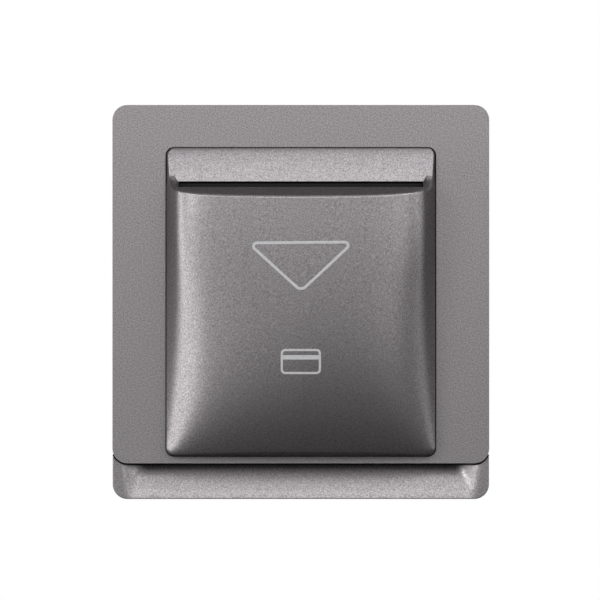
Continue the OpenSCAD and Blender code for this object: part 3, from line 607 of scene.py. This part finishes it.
def pocket_shell():
    """The wall closed round its edge and its slot, with the ledges; the inside gets a second, near-black
    finish that paints the shade in the slot.
    """
    nr = len(pocket_rows)
    nc = len(pocket_cols)
    total = nr * nc
    ring = grid_ring(nc, 0, nr - 1, 0, nc - 1)
    slot = grid_ring(nc, rim_row, brow_row, slot_left, slot_right)
    rear_outer = outer[ring].copy()
    rear_inner = inner[ring].copy()
    rear_outer[:, 1] = -LEDGE_REAR * MM
    rear_inner[:, 1] = -LEDGE_REAR * MM
    after = np.roll(np.arange(len(ring)), -1)
    a, b = ring, ring[after]
    ra = 2 * total + np.arange(len(ring))
    rb = 2 * total + after
    ia, ib = ra + len(ring), rb + len(ring)
    s, t = slot, np.roll(slot, -1)
    skin = grid_faces(nr, nc, flip=True, skip=in_slot)
    wall = np.stack([a, ra, rb, b], 1).tolist()
    inside = grid_faces(nr, nc, start=total, skip=in_slot)
    inside += np.stack([total + b, ib, ia, total + a], 1).tolist()
    inside += np.stack([ra, ia, ib, rb], 1).tolist()
    inside += np.stack([t, total + t, total + s, s], 1).tolist()
    points = [outer, inner, rear_outer, rear_inner]
    count = 2 * total + 2 * len(ring)
    for ledge in ledges:
        points.append(ledge)
        inside += (BOX_FACES + count).tolist()
        count += len(ledge)
    faces = skin + wall + inside
    finish_of = [0] * (len(skin) + len(wall)) + [1] * len(inside)
    return np.concatenate(points), faces, finish_of


points, faces, finish_of = pocket_shell()
# The inside faces take the near-black finish, which paints the shade seen through the slot.
cover_finishes = [FINISH["silver_paint"], FINISH["raw_grey_and_painted_shade"]]
cover = make_mesh("pocket_cover_skin", points, faces, cover_finishes, finish_of, sharp=COVER_SHARP)
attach(cover, "front")
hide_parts("pocket_cover")
print("pocket cover:", len(points), "points")

# %% [markdown]
# ## The printed marks
# A down arrow is screen-printed on the bulge in light grey ink, with a small card sign under it. Ink is
# a film a few hundredths of a millimetre thick. It could be a mask in the paint's shader, but a ribbon
# that follows the bulge keeps its crisp edge at any distance. So we walk along each mark's centre line,
# step half a stroke to both sides, and lay the points on the pocket's surface.


# %% Centre lines
def rounded_corners(corners, radii, count=10):
    """A closed line through the corners, each turned with its own radius."""
    line = []
    n = len(corners)
    for i in range(n):
        here = np.array(corners[i], float)
        back = np.array(corners[i - 1], float) - here
        ahead = np.array(corners[(i + 1) % n], float) - here
        back /= np.linalg.norm(back)
        ahead /= np.linalg.norm(ahead)
        half = math.acos(np.clip(back @ ahead, -1, 1)) / 2
        middle = (back + ahead) / np.linalg.norm(back + ahead)
        centre = here + middle * radii[i] / math.sin(half)
        start = here + back * radii[i] / math.tan(half) - centre
        end = here + ahead * radii[i] / math.tan(half) - centre
        for k in range(count + 1):
            t = k / count
            spoke = start * (1 - t) + end * t
            line.append(centre + spoke / np.linalg.norm(spoke) * radii[i])
    return np.array(line)


def filled_in(line, size, closed=True):
    """The same line with a point at least every so many millimetres."""
    points = []
    ends = np.roll(line, -1, axis=0) if closed else line[1:]
    for a, b in zip(line, ends):
        count = max(1, int(math.ceil(np.linalg.norm(b - a) / size)))
        points.extend(a + (b - a) * k / count for k in range(count))
    if not closed:
        points.append(line[-1])
    return np.array(points)


print("line helpers ready")

# %% Ribbons of ink
INK_T = 0.025
INK_ROOT = 0.06
INK_STEP = 0.4


def ink_ribbon(line, stroke, closed=True):
    """Points and faces of a flat ribbon with short sides that sink into the paint."""
    line = filled_in(line, INK_STEP, closed)
    if closed:
        way = np.roll(line, -1, axis=0) - np.roll(line, 1, axis=0)
    else:
        way = np.gradient(line, axis=0)
    way /= np.linalg.norm(way, axis=1, keepdims=True)
    side = np.stack([-way[:, 1], way[:, 0]], 1) * stroke / 2
    rails = []
    for reach, lift in ((1, -INK_ROOT), (1, INK_T), (-1, INK_T), (-1, -INK_ROOT)):
        x, y = (line + reach * side).T
        rails.append(place(x, y, PLATE_OUT + pocket_rise(x, y) + lift))
    points = np.stack(rails, 1).reshape(-1, 3)
    n = len(line)
    faces = []
    for i in range(n if closed else n - 1):
        j = (i + 1) % n
        for k in range(3):
            faces.append((4 * i + k, 4 * i + k + 1, 4 * j + k + 1, 4 * j + k))
    return points, faces


def joined(parts):
    """Several point-and-face lists as one."""
    points, faces, count = [], [], 0
    for p, f in parts:
        points.append(np.asarray(p))
        faces.extend([tuple(i + count for i in face) for face in f])
        count += len(p)
    return np.concatenate(points), faces


print("ink is", INK_T, "mm thick")

# %% The arrow
ARROW = [(-11.85, 13.34), (11.84, 13.55), (0.06, 2.51)]
ARROW_RADII = (0.75, 0.75, 1.5)
ARROW_STROKE = 0.62
arrow_parts = ink_ribbon(rounded_corners(ARROW, ARROW_RADII), ARROW_STROKE)
arrow = make_mesh("arrow_print", *arrow_parts, [FINISH["print_ink"]])
print("arrow:", len(arrow_parts[0]), "points")

# %% The card sign
SIGN_Y = -13.4
SIGN_W = 8.6
SIGN_H = 5.2
SIGN_R = 0.8
SIGN_STROKE = 0.5
STRIPE_UP = 0.95


def sign_corners(w, h):
    return [(s * w / 2, SIGN_Y + t * h / 2) for s, t in ((-1, 1), (1, 1), (1, -1), (-1, -1))]


sign_outline = rounded_corners(sign_corners(SIGN_W, SIGN_H), (SIGN_R,) * 4)
stripe = np.array([(-SIGN_W / 2, SIGN_Y + STRIPE_UP), (SIGN_W / 2, SIGN_Y + STRIPE_UP)])
sign_edge = ink_ribbon(sign_outline, SIGN_STROKE)
sign_stripe = ink_ribbon(stripe, 2 * SIGN_STROKE, closed=False)
sign_points = joined([sign_edge, sign_stripe])
sign = make_mesh("card_sign_print", *sign_points, [FINISH["print_ink"]])
for mark in (arrow, sign):
    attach(mark, "front")
print("card sign:", len(sign_points[0]), "points")

# %% [markdown]
# ## The wall frame and its finger scoop
# The frame is a flat flange on the wall with a thick lip at its foot. The lip's face is scooped out, so
# that a fingertip can get under the plate and pull the front off. The scoop is a slope that runs in
# under the plate, with soft ends that swell out to the flat ends of the lip. A boolean cut would leave
# hard edges there, so the face is a grid of heights again: the slope times a share that eases from one
# in the middle to nothing at the ends, with the outline's edge rounded over. The flange and the lip's
# hollow back are flat plates with holes, and a filled curve is the shortest way to those.

# %% The lip's outline and its scoop
SCOOP_HALF = 40.2
SCOOP_RUN = (1.6, 4.8)
SCOOP_HOLLOW = 0.28
SCOOP_POWER = 4
SCOOP_SOFT = 0.35
SCOOP_START_SOFT = 0.6
SCOOP_FOOT = -FRAME_H / 2 + 0.4
SCOOP_HEAD = PLATE_BOT + 0.5
LIP_EDGE_R = 0.15
LIP_TOP_R = 0.25
HALF_W = FRAME_W / 2


def corner_dip(x, r):
    """How far the round corner of a plate has risen over its straight edge at x."""
    run = np.clip(np.abs(x) - (HALF_W - CORNER_R), 0.0, r)
    return r - np.sqrt(r * r - run * run)


def lip_low(x):
    return -FRAME_H / 2 + corner_dip(x, CORNER_R)


def lip_high(x):
    return PLATE_BOT - SIDE_GAP + corner_dip(x, CORNER_R + SIDE_GAP)


def inside_by(x, y):
    """Distance in from the frame's outline."""
    qx = np.abs(x) - (HALF_W - CORNER_R)
    qy = np.abs(y) - (FRAME_H / 2 - CORNER_R)
    beyond = np.hypot(np.maximum(qx, 0), np.maximum(qy, 0))
    return CORNER_R - beyond - np.minimum(np.maximum(qx, qy), 0)


def rounded_over(d, r):
    near = np.clip(1 - d / r, 0.0, 1.0)
    return r * (1 - np.sqrt(1 - near * near))


def lip_level(x, y):
    up = (y - SCOOP_FOOT) / (SCOOP_HEAD - SCOOP_FOOT)
    depth = SCOOP_DEPTH * mix(up, up ** SCOOP_POWER, SCOOP_HOLLOW)
    depth = soft_max(depth, np.zeros_like(depth), SCOOP_START_SOFT)
    run = mix(SCOOP_RUN[0], SCOOP_RUN[1], depth / SCOOP_DEPTH)
    share = soft_max((SCOOP_HALF - np.abs(x)) / run, 0.0, SCOOP_SOFT)
    level = LIP_OUT - depth * soft_min(share, 1.0, SCOOP_SOFT)
    level -= rounded_over(inside_by(x, y), LIP_EDGE_R)
    return level - rounded_over(lip_high(x) - y, LIP_TOP_R)


print("lip from", lip_low(0.0), "to", round(float(lip_high(0.0)), 2), "mm")

# %% The lip's face
LIP_TOP_REAR = 1.0
LIP_WIDE_TO_X = 32.0
LIP_FINE_TO_X = 41.4
LIP_EDGE_FROM_X = 42.6
LIP_ROWS = 30
EDGE_SHARES = np.array([0.0, 0.002, 0.008, 0.018, 0.032, 0.048, 0.065])


def lip_face():
    """The lip's face with its outer wall; the rows crowd together at the rounded edges."""
    right = np.concatenate([
        [0.0],
        steps(0, LIP_WIDE_TO_X, 1.0),
        steps(LIP_WIDE_TO_X, LIP_FINE_TO_X, 0.2),
        steps(LIP_FINE_TO_X, LIP_EDGE_FROM_X, 0.1),
        steps(LIP_EDGE_FROM_X, HALF_W, 0.03),
    ])
    x = np.concatenate([-right[:0:-1], right])
    share = np.concatenate([EDGE_SHARES, np.linspace(0.09, 0.91, LIP_ROWS), 1 - EDGE_SHARES[::-1]])
    y = mix(lip_low(x)[None, :], lip_high(x)[None, :], share[:, None])
    x = np.broadcast_to(x, y.shape)
    nr, nc = y.shape
    face = place(x, y, lip_level(x, y)).reshape(-1, 3)
    ring = grid_ring(nc, 0, nr - 1, 0, nc - 1)
    rear = face[ring].copy()
    in_top_row = ring >= (nr - 1) * nc
    rear[:, 1] = np.where(in_top_row, -LIP_TOP_REAR * MM, 0.0)
    after = np.roll(np.arange(len(ring)), -1)
    back = nr * nc + np.arange(len(ring))
    wall = np.stack([ring, back, nr * nc + after, ring[after]], 1).tolist()
    return np.concatenate([face, rear]), grid_faces(nr, nc, flip=True) + wall


lip = lip_face()
print("lip:", len(lip[0]), "points")


# %% Flat plates with holes
SAME_POINT_MM = 1e-5


def round_outline(w, h, r, x=0.0, y=0.0, count=10):
    corners = [(x + s * w / 2, y + t * h / 2) for s, t in ((-1, 1), (1, 1), (1, -1), (-1, -1))]
    return rounded_corners(corners, (r,) * 4, count)


def slot_outline(length, width, x, count=14):
    turns = np.linspace(-math.pi / 2, math.pi / 2, count)
    arc = np.stack([np.cos(turns), np.sin(turns)], 1) * width / 2
    reach = np.array([(length - width) / 2, 0.0])
    return np.concatenate([arc + reach, -arc - reach]) + np.array([x, 0.0])


def flat_plate(outlines, rear, front):
    """Points and faces of a plate between two levels; the inner outlines are holes."""
    shape = bpy.data.curves.new("outline", "CURVE")
    shape.dimensions = "2D"
    shape.fill_mode = "BOTH"
    shape.extrude = (front - rear) / 2
    for line in outlines:
        spline = shape.splines.new("POLY")
        spline.points.add(len(line) - 1)
        flat = np.column_stack([line, np.zeros(len(line)), np.ones(len(line))])
        spline.points.foreach_set("co", flat.ravel())
        spline.use_cyclic_u = True
    carrier = bpy.data.objects.new("outline", shape)
    bpy.context.scene.collection.objects.link(carrier)
    solid = carrier.evaluated_get(bpy.context.evaluated_depsgraph_get()).to_mesh()
    net = bmesh.new()
    net.from_mesh(solid)
    bmesh.ops.remove_doubles(net, verts=net.verts, dist=SAME_POINT_MM)
    bmesh.ops.recalc_face_normals(net, faces=net.faces)
    net.verts.ensure_lookup_table()
    xyz = np.array([v.co for v in net.verts])
    faces = [[v.index for v in f.verts] for f in net.faces]
    net.free()
    bpy.data.objects.remove(carrier)
    bpy.data.curves.remove(shape)
    return place(xyz[:, 0], xyz[:, 1], xyz[:, 2] + (rear + front) / 2), faces


print("plate helpers ready")

# %% The flange
FLANGE_FOOT = -34.9
TONGUE_FOOT = -38.2
TONGUE_HALF = 42.5
HOUSING_W = 50.0
HOUSING_HOLE = HOUSING_W + 2 * SIDE_GAP
HOUSING_HOLE_R = 1.5
BOX_SLOT_L = 7.0
BOX_SLOT_W = 4.2
BOX_SLOT_X = 30.15
frame_line = round_outline(FRAME_W, FRAME_H, CORNER_R)
half_way = len(frame_line) // 2
tongue_line = np.array([
    (HALF_W, FLANGE_FOOT), (TONGUE_HALF, FLANGE_FOOT), (TONGUE_HALF, TONGUE_FOOT),
    (-TONGUE_HALF, TONGUE_FOOT), (-TONGUE_HALF, FLANGE_FOOT), (-HALF_W, FLANGE_FOOT),
])
flange = flat_plate([
    np.concatenate([frame_line[:half_way], tongue_line]),
    round_outline(HOUSING_HOLE, HOUSING_HOLE, HOUSING_HOLE_R),
    slot_outline(BOX_SLOT_L, BOX_SLOT_W, BOX_SLOT_X),
    slot_outline(BOX_SLOT_L, BOX_SLOT_W, -BOX_SLOT_X),
], 0.0, FLANGE_T)
print("flange:", len(flange[0]), "points")

# %% The lip's hollow back
CELL_N = 3
CELL_INSET = 3.2
CELL_RUN = FRAME_W - 2 * (CELL_INSET + SCOOP_DEPTH / 2)
CELL_W = CELL_RUN / CELL_N - LIP_WALL
CELL_LOW = -FRAME_H / 2 + LIP_WALL
CELL_HIGH = PLATE_BOT - SIDE_GAP - LIP_WALL


def scoop_floor(y):
    return mix(LIP_OUT - SCOOP_DEPTH, LIP_OUT, (SCOOP_HEAD - y) / (SCOOP_HEAD - SCOOP_FOOT))


cells = []
cell_holes = []
for i in range(CELL_N):
    mid = (i - (CELL_N - 1) / 2) * CELL_RUN / CELL_N
    left, right = mid - CELL_W / 2, mid + CELL_W / 2
    corners = [(left, CELL_LOW), (right, CELL_LOW), (right, CELL_HIGH), (left, CELL_HIGH)]
    cell_holes.append(np.array(corners))
    mouth = [(x, y, 0.0) for x, y in corners]
    bottom = [(x, y, scoop_floor(y) - LIP_WALL) for x, y in corners]
    sides = [(k, (k + 1) % 4, 4 + (k + 1) % 4, 4 + k) for k in range(4)]
    cells.append((place(*np.array(mouth + bottom).T), sides + [(4, 5, 6, 7)]))

LIP_BACK_T = 0.5
LIP_BACK_INSET = 0.02
lip_line = np.concatenate([frame_line[half_way:], tongue_line[::-1]])
lip_back = flat_plate([lip_line - np.sign(lip_line) * LIP_BACK_INSET] + cell_holes, 0.0, LIP_BACK_T)
print("hollow cells:", len(cells))

# %% The peg sockets, and the whole frame
PEG_X = 38.2
PEG_YS = (-32.0, 40.2)
SOCKET = [(1.85, 0.8), (1.85, 5.65), (2.0, 5.9), (2.75, 5.9), (2.95, 5.7), (2.95, FLANGE_T)]


def lathe(profile, x, y, count=40):
    """A turned shape about an axis out of the wall; the profile is (radius, level) pairs."""
    turns = np.linspace(0, 2 * math.pi, count, endpoint=False)
    r = np.array([p[0] for p in profile])[:, None]
    level = np.array([p[1] for p in profile])[:, None]
    points = place(x + r * np.cos(turns), y + r * np.sin(turns), level + 0 * turns).reshape(-1, 3)
    faces = []
    for k in range(len(profile) - 1):
        for i in range(count):
            j = (i + 1) % count
            faces.append((k * count + i, k * count + j, (k + 1) * count + j, (k + 1) * count + i))
    return points, faces


sockets = [lathe(SOCKET, side * PEG_X, y) for side in (-1, 1) for y in PEG_YS]
frame_parts = joined([lip, flange, lip_back] + cells + sockets)
frame_piece = make_mesh("base_frame_skin", *frame_parts, [FINISH["silver_paint"]])
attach(frame_piece, "root")
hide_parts("base_frame")
print("frame:", len(frame_parts[0]), "points")

# %% [markdown]
# ## The return spring
# The lever's spring is a coil of thin wire. The solid is a coarse tube, so we wind it again with round
# wire: a small circle carried along a helix. It is the one soft piece here; the real coil shortens as the
# lever turns, but here it is wound at one length only. A spigot on the lever holds the coil's end and
# swings upwards as the lever turns, so we wind the coil a little wide and let it lean that way.

# %% Wind the spring
COIL_X = 9.15
COIL_Y = -9.0
COIL_LOW = -6.0
COIL_HIGH = 4.579
COIL_R = 1.85
COIL_LEAN = 0.38
COIL_TURNS = 7
COIL_SEAT = 0.02
STEPS_PER_TURN = 28
WIRE_R = 0.3
WIRE_SIDES = 10


def coil():
    along = np.linspace(0, 1, COIL_TURNS * STEPS_PER_TURN + 1)
    turn = along * COIL_TURNS * 2 * math.pi
    end = WIRE_R + COIL_SEAT
    x = COIL_X + COIL_R * np.cos(turn)
    y = COIL_Y + COIL_LEAN * along + COIL_R * np.sin(turn)
    middle = np.stack([x, y, mix(COIL_LOW + end, COIL_HIGH - end, along)], 1)
    way = np.gradient(middle, axis=0)
    way /= np.linalg.norm(way, axis=1, keepdims=True)
    outward = np.stack([np.cos(turn), np.sin(turn), 0 * turn], 1)
    third = np.cross(way, outward)
    lines = []
    for k in range(WIRE_SIDES):
        a = 2 * math.pi * k / WIRE_SIDES
        lines.append(middle + WIRE_R * (math.cos(a) * outward + math.sin(a) * third))
    points = np.stack(lines, 1)
    faces = []
    for i in range(len(along) - 1):
        here = i * WIRE_SIDES
        ahead = here + WIRE_SIDES
        for k in range(WIRE_SIDES):
            m = (k + 1) % WIRE_SIDES
            faces.append((here + k, here + m, ahead + m, ahead + k))
    last = (len(along) - 1) * WIRE_SIDES
    faces.append(tuple(range(WIRE_SIDES))[::-1])
    faces.append(tuple(last + k for k in range(WIRE_SIDES)))
    return place(*points.reshape(-1, 3).T), faces


spring_points, spring_faces = coil()
spring = make_mesh("return_spring_coil", spring_points, spring_faces, [FINISH["spring_steel"]])
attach(spring, "root")
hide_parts("return_spring")
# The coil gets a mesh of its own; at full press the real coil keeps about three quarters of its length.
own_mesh(spring)
print("spring:", len(spring_points), "points")

# %% [markdown]
# ## The pieces that keep their solids
# Screws, pins, strips, the housing and the flat plate already have their true shapes, so the solids
# stay. A knife-sharp edge gives a model away, because every moulded or turned edge has a small radius
# that catches the light. We weld each solid's points, melt its flat faces together and bevel what is
# sharper than thirty degrees, by an amount that suits the piece's size.

# %% Bevels and finishes for the solids
BEVEL_MM = {"front_plate": 0.18, "rear_housing": 0.3, "pocket_base": 0.2, "mechanism_plate": 0.2,
            "card_lever": 0.25, "circuit_board": 0.08, "switch_case": 0.2, "switch_cover": 0.15,
            "terminal_block": 0.15, "lever_pin": 0.15}
SMALL_BEVEL_MM = 0.1
BEVEL_ROWS = 3
BEVEL_FROM = math.radians(30)
FLAT_WITHIN = math.radians(1.5)
SAME_POINT_M = 2e-6
slot_of = {part["node"]: part["material_slot"] for part in frame["record"]["subparts"]}
replaced = {"pocket_cover", "base_frame", "return_spring"}
for name, solid in NODES.items():
    finish = FINISH[slot_of[name]]
    solid.data.materials.clear()
    solid.data.materials.append(finish)
    if name in replaced:
        continue
    weld = solid.modifiers.new("weld", "WELD")
    weld.merge_threshold = SAME_POINT_M
    melt = solid.modifiers.new("melt", "DECIMATE")
    melt.decimate_type = "DISSOLVE"
    melt.angle_limit = FLAT_WITHIN
    soft = solid.modifiers.new("edges", "BEVEL")
    soft.width = BEVEL_MM.get(name, SMALL_BEVEL_MM) * MM
    soft.segments = BEVEL_ROWS
    soft.limit_method = "ANGLE"
    soft.angle_limit = BEVEL_FROM
    soft.use_clamp_overlap = True
    even = solid.modifiers.new("even", "WEIGHTED_NORMAL")
    even.keep_sharp = False
print("solids finished:", len(NODES) - len(replaced))

# %% [markdown]
# ## Studio
# The photograph is a catalogue picture: the switch faces the lens squarely, on pure white, in soft studio
# light. One big light would do for a matt thing, but this paint mirrors what stands round it, so a ring of
# soft boxes does the work. A wide one over the lens lights the flat plate, strong ones on the left and
# high on the right shape the bulge, and others low and at the sides keep its walls from going black.
# Two more behind serve the rear views. A floor far below gives the other views something to stand over.
# The white of the background comes from the world, which the lens sees but which hardly lights the paint,
# so that the bulge can go dark where it turns away.

# %% Camera
VIEW_MM = 136.95
VIEW_DISTANCE = 1.0
SENSOR = 36.0
AIM_X_MM = -0.19
AIM_UP_MM = 0.48
lens = bpy.data.cameras.new("camera")
lens.sensor_width = SENSOR
lens.lens = SENSOR * VIEW_DISTANCE / (VIEW_MM * MM)
lens.clip_start = 0.01
camera = bpy.data.objects.new("camera", lens)
camera.location = (AIM_X_MM * MM, -VIEW_DISTANCE - PLATE_OUT * MM, AIM_UP_MM * MM)
camera.rotation_euler = (math.pi / 2, 0, 0)
bpy.context.scene.collection.objects.link(camera)
bpy.context.scene.camera = camera
print("lens", round(lens.lens, 1), "mm")

# %% Lights
LIGHT_DISTANCE = 1.3


def soft_light(name, azimuth, elevation, power, width, height):
    """A soft box that faces the switch; azimuth 0 is the camera's side, positive to the right."""
    lamp = bpy.data.lights.new(name, "AREA")
    lamp.shape = "ELLIPSE"
    lamp.size = width
    lamp.size_y = height
    lamp.energy = power
    box = bpy.data.objects.new(name, lamp)
    a = math.radians(azimuth)
    e = math.radians(elevation)
    way = Vector((math.sin(a) * math.cos(e), -math.cos(a) * math.cos(e), math.sin(e)))
    box.location = way * LIGHT_DISTANCE
    box.rotation_euler = (-box.location).to_track_quat("-Z", "Y").to_euler()
    bpy.context.scene.collection.objects.link(box)
    return box


# Azimuth and elevation in degrees, power in watts, width and height in metres
SOFT_BOXES = {
    "front": (0, 20, 4.0, 1.1, 0.45),
    "front_high": (0, 40, 0.9, 0.45, 0.45),
    "front_low": (-18, -10, 0.6, 0.6, 0.45),
    "front_right": (28, 2, 1.5, 0.6, 0.45),
    "left": (-40, 16, 5.6, 0.5, 0.6),
    "left_low": (-56, -18, 3.4, 0.7, 0.45),
    "left_side": (-78, 0, 3.4, 0.5, 0.6),
    "right": (60, 14, 2.6, 0.45, 0.6),
    "right_high": (40, 44, 5.2, 0.45, 0.7),
    "right_side": (80, 0, 0.7, 0.45, 0.45),
    "top": (0, 80, 0.8, 0.45, 0.45),
    "rear_left": (-150, 20, 8.0, 0.45, 0.45),
    "rear_right": (150, 20, 6.0, 0.45, 0.45),
}
for name, setting in SOFT_BOXES.items():
    soft_light(name, *setting)
print("lights:", len(SOFT_BOXES))

# %% World
WHITE = (1.0, 1.0, 1.0, 1.0)
SEEN_STRENGTH = 1.0
LIGHT_STRENGTH = 0.01
world = bpy.data.worlds.new("studio")
bpy.context.scene.world = world
world.use_nodes = True
sky = world.node_tree.nodes
sky.clear()
out = sky.new("ShaderNodeOutputWorld")
seen = sky.new("ShaderNodeBackground")
seen.inputs["Color"].default_value = WHITE
seen.inputs["Strength"].default_value = SEEN_STRENGTH
dim = sky.new("ShaderNodeBackground")
dim.inputs["Color"].default_value = WHITE
dim.inputs["Strength"].default_value = LIGHT_STRENGTH
path = sky.new("ShaderNodeLightPath")
choose = sky.new("ShaderNodeMixShader")
world.node_tree.links.new(path.outputs["Is Camera Ray"], choose.inputs["Fac"])
world.node_tree.links.new(dim.outputs["Background"], choose.inputs[1])
world.node_tree.links.new(seen.outputs["Background"], choose.inputs[2])
world.node_tree.links.new(choose.outputs["Shader"], out.inputs["Surface"])
bpy.context.scene.view_settings.view_transform = "Standard"
print("world ready")

# %% Floor
FLOOR_Z = -0.16
FLOOR_R = 0.7
FLOOR_SIDES = 96
FLOOR_PAINT = (0.80, 0.80, 0.79)
floor_turns = np.linspace(0, 2 * math.pi, FLOOR_SIDES, endpoint=False)
floor_x = FLOOR_R * np.cos(floor_turns)
floor_y = FLOOR_R * np.sin(floor_turns)
floor_points = np.stack([floor_x, floor_y, 0 * floor_turns + FLOOR_Z], 1)
floor_finish = moulded("floor_paint", FLOOR_PAINT, 0.7, cloud=0.006)
floor = make_mesh("floor", floor_points, [tuple(range(FLOOR_SIDES))], [floor_finish])
floor.visible_glossy = False
floor.visible_diffuse = False
floor.visible_shadow = False
print("studio ready")
